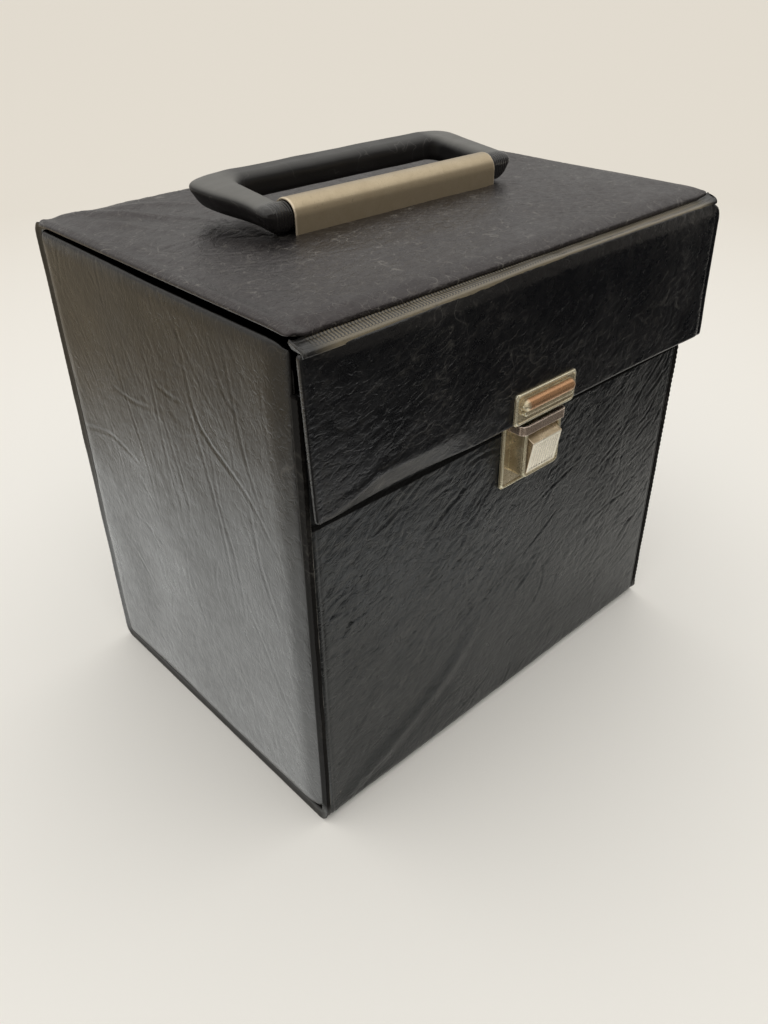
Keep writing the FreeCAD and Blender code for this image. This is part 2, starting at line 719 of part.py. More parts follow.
def handle():
    """A moulded loop: a grip and two arms round a pivot bar, tilted up off the lid."""
    body = new_body("handle")
    half = S["handle_wide"] / 2
    arm_in = S["sleeve_wide"] / 2 + S["side_gap"]
    nose = S["pivot_dia"] / 2
    reach = S["handle_reach"]
    inside = reach - S["grip_wide"]
    thick = S["handle_thick"] / 2
    outline = polygon(
        (-half, -nose), (-arm_in, -nose), (-arm_in, inside), (arm_in, inside),
        (arm_in, -nose), (half, -nose), (half, reach), (-half, reach),
    )
    pad(body, "Z", (-thick, thick), outline, "loop")
    soften(body, S["grip_corner"], lambda edge: edge_runs(edge, "z") and at(edge, y=reach), "grip_corners")
    soften(body, S["inner_corner"], lambda edge: edge_runs(edge, "z") and at(edge, y=inside), "inner_corners")
    soften(body, S["nose_corner"], lambda edge: edge_runs(edge, "z") and at(edge, y=-nose)
           and abs(abs(edge.BoundBox.XMax) - half.number) < 1e-3, "nose_corners")
    soften(body, S["handle_round"], lambda edge: at(edge, z=thick) or at(edge, z=-thick), "round")
    bar_into_arm = 2
    bar_end = arm_in + bar_into_arm
    pad(body, "X", (-bar_end, bar_end), circles(((0, 0), S["pivot_dia"])), "pivot_bar")
    tilt = Rotation(Vector(1, 0, 0), S["handle_tilt"].number)
    body.Placement = Placement(Vector(0, -S["pivot_fore"].number, S["pivot_tall"].number), tilt)
    body.setExpression("Placement.Base.y", (-S["pivot_fore"]).text)
    body.setExpression("Placement.Base.z", S["pivot_tall"].text)
    body.setExpression("Placement.Rotation.Angle", S["handle_tilt"].text)


box_panels()
edge_bead("left_edge_bead", -1)
edge_bead("right_edge_bead", 1)
lock()
lid()
flap()
handle()
doc.recompute()

failed = [thing.Name for thing in doc.Objects if {"Invalid", "Error"} & set(thing.State)]
failed += [node.Label for node in nodes if node.Shape.isNull() or not node.Shape.isValid()]
if failed:
    raise RuntimeError("not built: " + ", ".join(failed))

os.makedirs("parts", exist_ok=True)
for node in nodes:
    node.Shape.exportStep(os.path.join("parts", f"{node.Label}.step"))
print(len(nodes), "nodes")
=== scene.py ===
"""Looks for a black vinyl-covered carrying case: welded vinyl panels, brass lock, moulded handle.

Metres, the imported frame: +Z up, the flap and the lock towards -Y, the origin under the box.
"""
import json
import math

import bmesh
import bpy
import numpy as np
from mathutils import Matrix, Vector


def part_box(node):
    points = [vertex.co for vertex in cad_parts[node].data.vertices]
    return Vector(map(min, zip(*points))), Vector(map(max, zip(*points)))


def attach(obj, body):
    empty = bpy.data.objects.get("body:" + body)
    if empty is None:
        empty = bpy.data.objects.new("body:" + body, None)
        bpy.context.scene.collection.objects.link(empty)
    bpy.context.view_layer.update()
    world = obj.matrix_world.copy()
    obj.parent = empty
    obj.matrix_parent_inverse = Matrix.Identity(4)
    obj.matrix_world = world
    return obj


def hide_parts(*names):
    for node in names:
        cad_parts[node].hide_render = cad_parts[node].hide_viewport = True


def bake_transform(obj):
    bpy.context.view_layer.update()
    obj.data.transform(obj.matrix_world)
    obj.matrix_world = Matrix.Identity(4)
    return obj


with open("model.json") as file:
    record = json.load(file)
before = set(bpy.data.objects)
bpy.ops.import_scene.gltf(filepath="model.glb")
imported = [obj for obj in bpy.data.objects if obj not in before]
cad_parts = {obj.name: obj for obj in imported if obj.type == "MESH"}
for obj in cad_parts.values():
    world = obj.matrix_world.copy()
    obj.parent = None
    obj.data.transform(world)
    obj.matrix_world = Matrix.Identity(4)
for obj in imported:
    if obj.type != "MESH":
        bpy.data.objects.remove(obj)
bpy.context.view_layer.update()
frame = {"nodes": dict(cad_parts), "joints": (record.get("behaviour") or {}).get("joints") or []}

MM = 0.001

# ------------------------------------------------------------------ places read from the frame

CASE_LOW, CASE_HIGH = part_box("left_side_cover")[0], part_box("right_side_cover")[1]
LEFT, RIGHT = CASE_LOW.x / MM, CASE_HIGH.x / MM
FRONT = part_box("front_cover")[0].y / MM
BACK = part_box("back_cover")[1].y / MM
LID_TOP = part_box("lid_cover")[1].z / MM
LID_FRONT, LID_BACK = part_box("lid_cover")[0].y / MM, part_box("lid_cover")[1].y / MM
SIDE_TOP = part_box("left_side_cover")[1].z / MM
SIDE_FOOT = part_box("left_side_cover")[0].z / MM
SIDE_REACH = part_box("left_side_cover")[1].y / MM
FRONT_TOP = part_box("front_cover")[1].z / MM
PANEL_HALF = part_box("front_cover")[1].x / MM
FLAP_LOW, FLAP_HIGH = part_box("flap_cover")
FLAP_FACE = FLAP_LOW.y / MM
FLAP_FOOT, FLAP_HEAD = FLAP_LOW.z / MM, FLAP_HIGH.z / MM


# ------------------------------------------------------------------ noise on grids, in millimetres

def lattice(x, y, seed):
    """A steady random number from 0 to 1 for each whole-number cell."""
    mask = 0xFFFFFFFF
    h = (x.astype(np.int64) * 374761393 + y.astype(np.int64) * 668265263 + seed * 974634777) & mask
    h = ((h ^ (h >> 13)) * 1274126177) & mask
    h = ((h ^ (h >> 16)) * 2246822519) & mask
    return (h ^ (h >> 15)) / mask


def noise(x, y, seed):
    """Smooth noise from -1 to 1 over unit cells."""
    xf, yf = np.floor(x), np.floor(y)
    u, v = x - xf, y - yf
    u, v = u * u * (3 - 2 * u), v * v * (3 - 2 * v)
    a, b = lattice(xf, yf, seed), lattice(xf + 1, yf, seed)
    c, d = lattice(xf, yf + 1, seed), lattice(xf + 1, yf + 1, seed)
    return 2 * ((a * (1 - u) + b * u) * (1 - v) + (c * (1 - u) + d * u) * v) - 1


def fractal(x, y, seed, octaves=3):
    """Layers of noise, each with cells and height half those of the one before."""
    total, size = 0, 1.0
    for octave in range(octaves):
        total = total + size * noise(x * 2 ** octave, y * 2 ** octave, seed + 31 * octave)
        size *= 0.5
    return total


def cell_edges(x, y, seed):
    """Distance between the nearest and second nearest points of a jittered grid: 0 on the cells' borders."""
    xf, yf = np.floor(x), np.floor(y)
    first = np.full(x.shape, 9.0)
    second = np.full(x.shape, 9.0)
    for i in (-1, 0, 1):
        for j in (-1, 0, 1):
            px = xf + i + lattice(xf + i, yf + j, seed)
            py = yf + j + lattice(xf + i, yf + j, seed + 7)
            d = np.hypot(px - x, py - y)
            second = np.minimum(second, np.maximum(first, d))
            first = np.minimum(first, d)
    return second - first


def turned(u, v, degrees):
    """Coordinates along and across a direction that leans from u towards v."""
    c, s = math.cos(math.radians(degrees)), math.sin(math.radians(degrees))
    return u * c + v * s, v * c - u * s


def crease_net(u, v, lean, across, along, seed, width=0.16, warp=1.0):
    """Long shallow creases that branch: the borders of stretched, warped cells. 0 to 1."""
    a, b = turned(u, v, lean)
    a = a + warp * along * 0.35 * noise(a / along, b / across / 2, seed + 3)
    b = b + warp * across * 0.9 * fractal(a / along * 1.3, b / across / 3, seed + 5)
    edge = cell_edges(a / along, b / across, seed)
    line = np.exp(-(edge / width) ** 2)
    fade = np.clip(0.55 + 0.9 * fractal(u / 31, v / 31, seed + 11), 0, 1)
    return line * fade


def wrinkles(u, v, lean, along, across, seed, width=0.2):
    """Short curved wrinkles, on the lines where a stretched noise changes sign. 0 to 1."""
    a, b = turned(u, v, lean)
    a = a + 0.35 * along * noise(b / across / 2, a / along, seed + 3)
    b = b + 0.45 * across * noise(a / along * 0.8, b / across / 2, seed + 5)
    value = fractal(a / along, b / across, seed, 2)
    fade = np.clip(0.35 + 1.1 * fractal(u / 15, v / 15, seed + 9, 2), 0, 1)
    return np.exp(-(value / width) ** 2) * fade


def grain(u, v, lean, seed, long=0.17, cross=0.12, short=0.10):
    """The embossed grain of the vinyl, in millimetres of height, running along the lean."""
    long_net = crease_net(u, v, lean, 5.2, 24, seed, width=0.13)
    cross_net = crease_net(u, v, lean + 32, 7.5, 17, seed + 50, width=0.10)
    curls = wrinkles(u, v, lean + 6, 6.0, 3.0, seed + 90)
    pillows = fractal(u / 3.4, v / 3.4, seed + 130, 2)
    return -long * long_net - cross * cross_net - short * curls + 0.025 * pillows


def stroke(u, v, points, width, depth, pinch=0.5):
    """One crease drawn through points: a valley with raised lips, fading out at its ends."""
    path = smooth_path(points, 24)
    near = np.full(u.shape, 1e9)
    place = np.zeros(u.shape)
    count = len(path) - 1
    for index in range(count):
        p, q = path[index], path[index + 1]
        d = q - p
        span = max(float(d @ d), 1e-9)
        t = np.clip(((u - p[0]) * d[0] + (v - p[1]) * d[1]) / span, 0, 1)
        gap = np.hypot(u - p[0] - t * d[0], v - p[1] - t * d[1])
        closer = gap < near
        near = np.where(closer, gap, near)
        place = np.where(closer, (index + t) / count, place)
    fade = np.sin(np.pi * np.clip(place, 0.02, 0.98)) ** 0.6
    valley = np.exp(-(near / width) ** 2)
    lips = np.exp(-((near - 1.7 * width) / width) ** 2)
    return depth * fade * (pinch * lips - valley)


def smooth_path(points, count):
    """A Catmull-Rom curve through the points."""
    p = np.array(points, float)
    p = np.vstack([2 * p[0] - p[1], p, 2 * p[-1] - p[-2]])
    spans = len(p) - 3
    out = []
    for s in np.linspace(0, spans - 1e-6, count):
        i = int(s)
        t = s - i
        a, b, c, d = p[i:i + 4]
        out.append(0.5 * (2 * b + (c - a) * t + (2 * a - 5 * b + 4 * c - d) * t ** 2
                          + (3 * b - a - 3 * c + d) * t ** 3))
    return np.array(out)


def scattered_strokes(u, v, lean, count, seed, long=(16, 52), depth=(0.08, 0.2), width=(0.55, 0.9)):
    """Random creases near one direction."""
    rng = np.random.default_rng(seed)
    height = np.zeros(u.shape)
    low_u, high_u, low_v, high_v = u.min(), u.max(), v.min(), v.max()
    for _ in range(count):
        start = np.array([rng.uniform(low_u, high_u), rng.uniform(low_v, high_v)])
        heading = math.radians(lean + rng.normal(0, 13))
        bend = math.radians(rng.normal(0, 14))
        length = rng.uniform(*long)
        points = [start]
        for _ in range(3):
            step = length / 3 * np.array([math.cos(heading), math.sin(heading)])
            points.append(points[-1] + step)
            heading += bend
        points = np.array(points)
        size, deep = rng.uniform(*width), rng.uniform(*depth)
        margin = 4.0
        low, high = points.min(0) - margin, points.max(0) + margin
        inside = (u > low[0]) & (u < high[0]) & (v > low[1]) & (v < high[1])
        if inside.any():
            height[inside] += stroke(u[inside], v[inside], points, size, deep)
    return height


def soft_step(x, low, high):
    """0 up to low, 1 from high, smooth between."""
    t = np.clip((x - low) / (high - low), 0, 1)
    return t * t * (3 - 2 * t)


# ------------------------------------------------------------------ meshes

def add_piece(name, points, faces, material):
    """A mesh object from points in millimetres."""
    mesh = bpy.data.meshes.new(name)
    mesh.from_pydata([tuple(p) for p in np.asarray(points, float) * MM], [], faces)
    mesh.update()
    mesh.validate()
    piece = bpy.data.objects.new(name, mesh)
    bpy.context.scene.collection.objects.link(piece)
    mesh.materials.append(material)
    mesh.shade_smooth()
    return piece


def grid_faces(rows, columns, close_rows=False, close_columns=False, flip=False):
    """Quads of a grid whose point number is row * columns + column."""
    faces = []
    for i in range(rows if close_rows else rows - 1):
        for j in range(columns if close_columns else columns - 1):
            i2, j2 = (i + 1) % rows, (j + 1) % columns
            quad = (i * columns + j, i * columns + j2, i2 * columns + j2, i2 * columns + j)
            faces.append(quad[::-1] if flip else quad)
    return faces


def boundary(rows, columns):
    """The grid's outer loop of point numbers."""
    top = [j for j in range(columns)]
    right = [i * columns + columns - 1 for i in range(1, rows)]
    bottom = [(rows - 1) * columns + j for j in range(columns - 2, -1, -1)]
    left = [i * columns for i in range(rows - 2, 0, -1)]
    return top + right + bottom + left


def edge_spaced(half, radius, step):
    """Surface distances across a face with rolled edges: even in the flat, closer over the rolls."""
    flat = half - radius
    roll = radius * math.pi / 2
    count = max(8, int(round(2 * flat / step)))
    rolled = np.linspace(0, roll, 9)[1:]
    return np.concatenate([-(flat + rolled[::-1]), np.linspace(-flat, flat, count), flat + rolled])


def pillow(name, size, place, radius, deep, height, material, step=0.8, plan=None, hem=0.0,
           bent_back=False):
    """A skin over a board: a face with rolled edges and rounded corners, closed behind.

    size is (width, height) of the face; place maps face coordinates (a, b, n) to the frame, with n
    out of the face; height(a, b) is the skin's rise above the face, in millimetres; plan(a, b) is the
    radius of the face's corners, at least the roll's own radius; hem is how far in from the rim the
    back reaches its full depth; bent_back is for a place whose back isn't flat.
    """
    half_a, half_b = size[0] / 2, size[1] / 2
    across = edge_spaced(half_a, radius, step)
    up = edge_spaced(half_b, radius, step)
    b, a = np.meshgrid(up, across, indexing="ij")
    corner = np.full(b.shape, radius) if plan is None else np.maximum(plan(a, b), radius)
    inner_a = np.clip(a, corner - half_a, half_a - corner)
    inner_b = np.clip(b, corner - half_b, half_b - corner)
    over_a, over_b = a - inner_a, b - inner_b
    along = np.maximum(np.abs(over_a), np.abs(over_b))
    far = np.maximum(np.hypot(over_a, over_b), 1e-9)
    level = corner - radius
    turn = np.maximum(along - level, 0) / radius
    reach = np.minimum(along, level) + radius * np.sin(turn)
    flat_a = inner_a + over_a / far * reach
    flat_b = inner_b + over_b / far * reach
    drop = radius * (1 - np.cos(turn)) + np.maximum(deep - radius, 0) * (turn / (math.pi / 2)) ** 6
    calm = np.cos(np.clip(turn, 0, math.pi / 2)) ** 0.7
    n = np.maximum(height(flat_a, flat_b) * calm - drop, -deep)
    points = place(flat_a, flat_b, n).reshape(-1, 3)
    rows, columns = a.shape
    faces = grid_faces(rows, columns)
    loop = boundary(rows, columns)
    if hem:
        rim_a, rim_b = flat_a.ravel()[loop], flat_b.ravel()[loop]
        inner = place(rim_a * (1 - hem / half_a), rim_b * (1 - hem / half_b), np.full(len(loop), -deep))
        base, count = len(points), len(loop)
        points = np.vstack([points, inner])
        faces += [(loop[k], base + k, base + (k + 1) % count, loop[(k + 1) % count]) for k in range(count)]
        loop = [base + k for k in range(count)]
    if bent_back:
        inside = np.ones(len(points), bool)
        inside[loop] = False
        number = np.arange(len(points))
        number[inside] = len(points) + np.arange(inside.sum())
        behind = place(flat_a, flat_b, np.full(a.shape, -deep)).reshape(-1, 3)[inside]
        points = np.vstack([points, behind])
        faces += [tuple(int(number[k]) for k in face) for face in grid_faces(rows, columns, flip=True)]
    else:
        faces.append(tuple(loop[::-1]))
    return add_piece(name, points, faces, material)


def place_on(origin, right, up):
    """A map from face coordinates to the frame: right and up are the face's own directions."""
    origin, right, up = (np.array(v, float) for v in (origin, right, up))
    out = np.cross(right, up)

    def place(a, b, n):
        return origin + a[..., None] * right + b[..., None] * up + n[..., None] * out
    return place


def rounded_path(corners, radii, step):
    """Points along a line of straight runs joined by tangent arcs, with their outward normals (left side)."""
    corners = [np.array(c, float) for c in corners]
    line = [corners[0]]
    for index in range(1, len(corners) - 1):
        p, q, r = corners[index - 1], corners[index], corners[index + 1]
        radius = radii[index - 1]
        before, after = (p - q) / np.linalg.norm(p - q), (r - q) / np.linalg.norm(r - q)
        opening = math.acos(np.clip(before @ after, -1, 1))
        reach = radius / math.tan(opening / 2)
        middle = q + (before + after) / np.linalg.norm(before + after) * radius / math.sin(opening / 2)
        first, last = q + before * reach, q + after * reach
        a0 = math.atan2(*(first - middle)[::-1])
        a1 = math.atan2(*(last - middle)[::-1])
        sweep = (a1 - a0 + math.pi) % (2 * math.pi) - math.pi
        for t in np.linspace(0, 1, max(5, int(abs(sweep) * radius / step) + 4)):
            angle = a0 + sweep * t
            line.append(middle + radius * np.array([math.cos(angle), math.sin(angle)]))
    line.append(corners[-1])
    out = [line[0]]
    for p, q in zip(line, line[1:]):
        pieces = max(1, int(round(np.linalg.norm(q - p) / step)))
        out += [p + (q - p) * k / pieces for k in range(1, pieces + 1)]
    keep = [out[0]] + [q for p, q in zip(out, out[1:]) if np.linalg.norm(q - p) > 1e-6]
    path = np.array(keep)
    way = np.gradient(path, axis=0)
    way /= np.linalg.norm(way, axis=1)[:, None]
    return path, np.stack([-way[:, 1], way[:, 0]], axis=1)


def bent_skin(name, corners, radii, inner, half, height, material, step=0.9, side=1.0,
              roll=2.2, dip=1.1, taper=0.0, drop=None):
    """A skin that follows a bent line in the YZ plane and runs across in x, closed on its inner side.

    inner are the corners of the closing line, from the skin's last point back to its first;
    height(x, distance) is the skin's rise, in millimetres. The ends drop by dip over the last roll
    millimetres, and the right one draws in by taper towards the line's far end; drop(x, share) lowers it.
    """
    path, normal = rounded_path(corners, radii, step)
    distance = np.concatenate([[0], np.cumsum(np.linalg.norm(np.diff(path, axis=0), axis=1))])
    x = np.concatenate([np.linspace(-half, -half + roll, 7)[:-1],
                        np.linspace(-half + roll, half - roll, int(2 * (half - roll) / step)),
                        np.linspace(half - roll, half, 7)[1:]])
    grid_x, grid_s = np.meshgrid(x, distance)
    edge = np.clip((half - np.abs(grid_x)) / roll, 0, 1)
    rise = height(grid_x, grid_s) * np.sqrt(edge) - dip * (1 - np.sqrt(1 - (1 - edge) ** 2))
    rise[0, :] = rise[-1, :] = 0
    y = path[:, 0][:, None] + side * normal[:, 0][:, None] * rise
    z = path[:, 1][:, None] + side * normal[:, 1][:, None] * rise
    drawn = grid_x - taper * np.clip(grid_x / half, 0, 1) * (grid_s / distance[-1]) ** 2
    if drop is not None:
        z = z - drop(grid_x, grid_s / distance[-1])
    points = np.stack([drawn, y, z], axis=-1).reshape(-1, 3)
    rows, columns = grid_x.shape
    faces = grid_faces(rows, columns, flip=side < 0)
    back = []
    for index, corner in enumerate(inner):
        share = 1 - index / max(1, len(inner) - 1)
        end = half - taper * share ** 2  # the right end; the left one is not drawn in
        low = [0.0, 0.0] if drop is None else drop(np.array([-half, half]), share)
        back.append([(-half, corner[0], corner[1] - low[0]), (end, corner[0], corner[1] - low[1])])
    base = len(points)
    points = np.vstack([points] + [np.array(pair, float) for pair in back])
    count = len(inner)
    ends = [(base + 2 * k, base + 2 * k + 1) for k in range(count)]
    last_row = [(rows - 1) * columns + j for j in range(columns)]
    first_row = list(range(columns))
    faces.append(tuple(last_row + [ends[0][1], ends[0][0]]))
    for (a0, a1), (b0, b1) in zip(ends, ends[1:]):
        faces.append((a0, a1, b1, b0))
    faces.append(tuple([ends[-1][0], ends[-1][1]] + first_row[::-1]))
    left = [i * columns for i in range(rows)] + [pair[0] for pair in ends]
    right = [i * columns + columns - 1 for i in range(rows)] + [pair[1] for pair in ends]
    faces.append(tuple(left))
    faces.append(tuple(right[::-1]))
    piece = add_piece(name, points, faces, material)
    fix_normals(piece)
    return piece


def fix_normals(piece):
    """Turns every face outwards."""
    bm = bmesh.new()
    bm.from_mesh(piece.data)
    bmesh.ops.recalc_face_normals(bm, faces=bm.faces)
    bm.to_mesh(piece.data)
    bm.free()


# ------------------------------------------------------------------ materials

class Finish:
    """One material: a Principled shader and short calls for the nodes that feed it."""

    def __init__(self, name):
        self.material = bpy.data.materials.new(name)
        self.material.use_nodes = True
        self.tree = self.material.node_tree
        self.shader = self.tree.nodes["Principled BSDF"]
        self.place = self.add("ShaderNodeTexCoord").outputs["Object"]

    def add(self, kind, inputs=None, **settings):
        node = self.tree.nodes.new(kind)
        for key, value in settings.items():
            setattr(node, key, value)
        for key, value in (inputs or {}).items():
            if isinstance(value, bpy.types.NodeSocket):
                self.tree.links.new(value, node.inputs[key])
            else:
                node.inputs[key].default_value = value
        return node

    def along(self, turn, cell):
        """Coordinates turned by Euler angles in degrees and divided by a cell size in millimetres."""
        node = self.add("ShaderNodeMapping", {"Vector": self.place}, vector_type="TEXTURE")
        node.inputs["Rotation"].default_value = [math.radians(t) for t in turn]
        node.inputs["Scale"].default_value = [c * MM for c in cell]
        return node.outputs["Vector"]

    def even(self, cell):
        """Coordinates divided by one cell size in millimetres."""
        return self.along((0, 0, 0), (cell, cell, cell))

    def parts(self, vector):
        """The x, y and z of a vector, by name."""
        return self.add("ShaderNodeSeparateXYZ", {0: vector}).outputs

    def facing(self):
        """The x, y and z of the surface's direction, in the object's own axes."""
        return self.parts(self.add("ShaderNodeTexCoord").outputs["Normal"])

    def warped(self, place, scale, amount):
        """Coordinates pushed about by a noise."""
        push = self.add("ShaderNodeTexNoise", {"Vector": place, "Scale": scale, "Detail": 2.0})
        shift = self.add("ShaderNodeVectorMath", {0: push.outputs["Color"], 1: (0.5, 0.5, 0.5)},
                         operation="SUBTRACT")
        sized = self.add("ShaderNodeVectorMath", {0: shift.outputs[0], "Scale": amount * 2},
                         operation="SCALE")
        moved = self.add("ShaderNodeVectorMath", {0: place, 1: sized.outputs[0]}, operation="ADD")
        return moved.outputs[0]

    def noise(self, place, scale=1.0, detail=3.0, rough=0.55, twist=0.0):
        """Soft noise round 0.5."""
        node = self.add("ShaderNodeTexNoise", {"Vector": place, "Scale": scale, "Detail": detail,
                                               "Roughness": rough, "Distortion": twist})
        return node.outputs["Fac"]

    def cells(self, place):
        """Distance to the nearest border of a jittered cell pattern."""
        node = self.add("ShaderNodeTexVoronoi", {"Vector": place, "Scale": 1.0}, feature="DISTANCE_TO_EDGE")
        return node.outputs["Distance"]

    def span(self, value, low, high, to_low=0.0, to_high=1.0):
        """A value's run from low to high mapped to another run, and held beyond its ends."""
        node = self.add("ShaderNodeMapRange", {"Value": value, "From Min": low, "From Max": high,
                                               "To Min": to_low, "To Max": to_high})
        return node.outputs["Result"]

    def calc(self, operation, a, b=0.0):
        return self.add("ShaderNodeMath", {0: a, 1: b}, operation=operation).outputs[0]

    def times(self, a, b):
        return self.calc("MULTIPLY", a, b)

    def mix(self, share, a, b):
        """The colour a where share is 0 and b where it is 1."""
        node = self.add("ShaderNodeMix", {"Factor": share}, data_type="RGBA")
        for socket, value in ((node.inputs[6], a), (node.inputs[7], b)):
            if isinstance(value, bpy.types.NodeSocket):
                self.tree.links.new(value, socket)
            else:
                socket.default_value = (*value, 1)
        return node.outputs[2]

    def hairlines(self, place, scale, width, detail=2.0):
        """Thin wandering lines where a noise crosses its middle."""
        gap = self.calc("ABSOLUTE", self.calc("SUBTRACT", self.noise(place, scale, detail), 0.5))
        return self.span(gap, 0.0, width, 1.0, 0.0)

    def bump(self, height, depth, strength=1.0, under=None):
        """A bump of that depth in millimetres."""
        inputs = {"Height": height, "Distance": depth * MM, "Strength": strength}
        if under is not None:
            inputs["Normal"] = under
        return self.add("ShaderNodeBump", inputs).outputs["Normal"]

    def set(self, **values):
        """Sockets by name, with _ for a space."""
        for key, value in values.items():
            socket = self.shader.inputs[key.replace("_", " ")]
            if isinstance(value, bpy.types.NodeSocket):
                self.tree.links.new(value, socket)
            elif socket.type == "RGBA":
                socket.default_value = (*value, 1)
            else:
                socket.default_value = value
        return self.material


# Hair scratches: (the way their noise is turned, its cell in millimetres, where they start to show).
HAIR_SETS = [((15, 20, 25), 6.0, 0.50), ((40, 10, 80), 3.6, 0.52), ((5, 60, 140), 11.0, 0.47)]
STRIP_FIELD = (-81.3, -80.9)  # y where the ribbed strip's field of ribs begins, over a soft edge


def vinyl(name, turn, tone=1.0, dust=1.0, polish=0.30, relief=1.0, hairs=0.0, tint=(1.0, 0.97, 0.95),
          dark_ends=0.0, dull_front=0.0, gleam=(1.0, 1.0, 1.0), ribs=0.0, painted_shade=None):
    """Black embossed PVC: wandering creases, a fine crackle, pebble, dust in places and hair scratches.

    turn lays the grain; tone and tint are the colour's strength and cast; gleam tints the reflections;
    dark_ends is where the ribbed strip's ends darken, ribs is its pitch; dull_front is the y of the
    box's front, which dulls what looks out there; the last argument is (low z, high z) of a band of
    painted shade on the front, under the flap's edge, dark and with weaker, blurrier reflections.
    """
    f = Finish(name)
    upright = turn[2] == 0

    def cell(long, short):
        return (long, long, short) if upright else (long, short, long)
    patch = f.noise(f.even(38), 1.0, 3.0, 0.6)
    mottle = f.noise(f.even(3.2), 1.0, 4.0, 0.65)
    uneven = f.span(mottle, 0.38, 0.62, 0.0, 1.0)
    folds = f.hairlines(f.warped(f.along(turn, cell(9.0, 4.0)), 0.8, 0.6), 1.0, 0.045, 1.5)
    curls = f.hairlines(f.warped(f.along(turn, cell(4.2, 2.2)), 0.8, 0.7), 1.0, 0.07, 1.0)
    folds = f.times(folds, uneven)
    curls = f.times(curls, f.span(mottle, 0.55, 0.42))
    crackle = f.span(f.cells(f.warped(f.along(turn, cell(2.3, 1.5)), 0.8, 0.8)), 0.0, 0.16, 1.0, 0.0)
    soft = f.noise(f.along(turn, cell(5.0, 2.8)), 1.0, 2.0, 0.5)
    pebble = f.noise(f.along(turn, cell(0.9, 0.7)), 1.0, 2.0, 0.55)
    normal = f.bump(soft, 0.22, 0.5 * relief)
    normal = f.bump(folds, -0.13, 0.8 * relief, normal)
    normal = f.bump(curls, -0.10, 0.8 * relief, normal)
    normal = f.bump(crackle, -0.035, 0.8 * relief, normal)
    normal = f.bump(pebble, 0.022, 0.6, normal)
    worn = f.times(folds, f.span(patch, 0.42, 0.60, 0.0, 0.35 * dust))
    scuffs = f.times(f.hairlines(f.along((20, 35, 50), (24, 24, 24)), 1.0, 0.006),
                     f.span(patch, 0.48, 0.62))
    dusty = f.times(f.span(mottle, 0.55, 0.78), f.span(patch, 0.42, 0.66, 0.0, 0.45 * dust))
    specks = f.times(f.span(f.noise(f.even(0.5), 1.0, 1.0), 0.71, 0.77),
                     f.span(patch, 0.40, 0.60, 0.0, 0.45 * dust))
    base = f.mix(patch, tuple(0.0052 * tone * c for c in tint), tuple(0.0095 * tone * c for c in tint))
    if dark_ends:
        spot = f.parts(f.place)
        across = f.calc("ABSOLUTE", spot["X"])
        base = f.mix(f.span(across, (dark_ends - 9) * MM, dark_ends * MM), base, (0.008, 0.0078, 0.0078))
        wave = f.calc("COSINE", f.times(spot["X"], 2 * math.pi / (ribs * MM)))
        field = f.span(spot["Y"], STRIP_FIELD[0] * MM, STRIP_FIELD[1] * MM)
        between = f.times(f.span(wave, 0.2, -0.5), field)
        base = f.mix(between, base, (0.012, 0.011, 0.010))
    base = f.mix(dusty, base, (0.040, 0.037, 0.033))
    base = f.mix(worn, base, (0.070, 0.066, 0.058))
    base = f.mix(f.times(scuffs, 0.30), base, (0.11, 0.105, 0.095))
    base = f.mix(specks, base, (0.18, 0.17, 0.155))
    if hairs:
        for turned_by, size, low in HAIR_SETS:
            lines = f.hairlines(f.along(turned_by, (size, size * 0.7, size)), 1.0, 0.012, 1.0)
            where = f.noise(f.along(turned_by, (size, size, size * 1.4)), 1.3, 3.0, 0.6)
            lines = f.times(lines, f.span(where, low, low + 0.09, 0.0, hairs))
            base = f.mix(lines, base, (0.20, 0.19, 0.17))
    gloss = f.calc("ADD", f.span(soft, 0.3, 0.7, polish - 0.03, polish + 0.05),
                   f.span(patch, 0.35, 0.65, -0.03, 0.06))
    gloss = f.calc("ADD", gloss, f.times(dusty, 0.25))
    if dull_front:
        spot = f.parts(f.place)
        dull = f.times(f.span(spot["Y"], (dull_front + 4) * MM, (dull_front + 3) * MM),
                       f.span(spot["Z"], 3 * MM, 9 * MM))
        gloss = f.calc("MAXIMUM", gloss, f.times(dull, 0.85))
        f.set(Specular_IOR_Level=f.span(dull, 0.0, 1.0, 0.5, 0.12))
    # Painted shade: a dark band on the front face from low to high z, just under the flap's edge, with
    # rougher and weaker reflections, standing for the shadow under the flap.
    if painted_shade is not None:
        spot = f.parts(f.place)
        low, high = painted_shade
        line = f.times(f.span(spot["Z"], low * MM, (low + 0.5) * MM),
                       f.span(spot["Z"], high * MM, (high - 1.5) * MM))
        line = f.times(line, f.span(spot["Y"], 0.0, -0.01))
        base = f.mix(line, base, (0.0035, 0.0033, 0.0032))
        gloss = f.calc("MAXIMUM", gloss, f.times(line, 0.8))
        f.set(Specular_IOR_Level=f.span(line, 0.0, 1.0, 0.5, 0.06))
    return f.set(Base_Color=base, Roughness=gloss, Normal=normal, IOR=1.55, Specular_Tint=gleam)


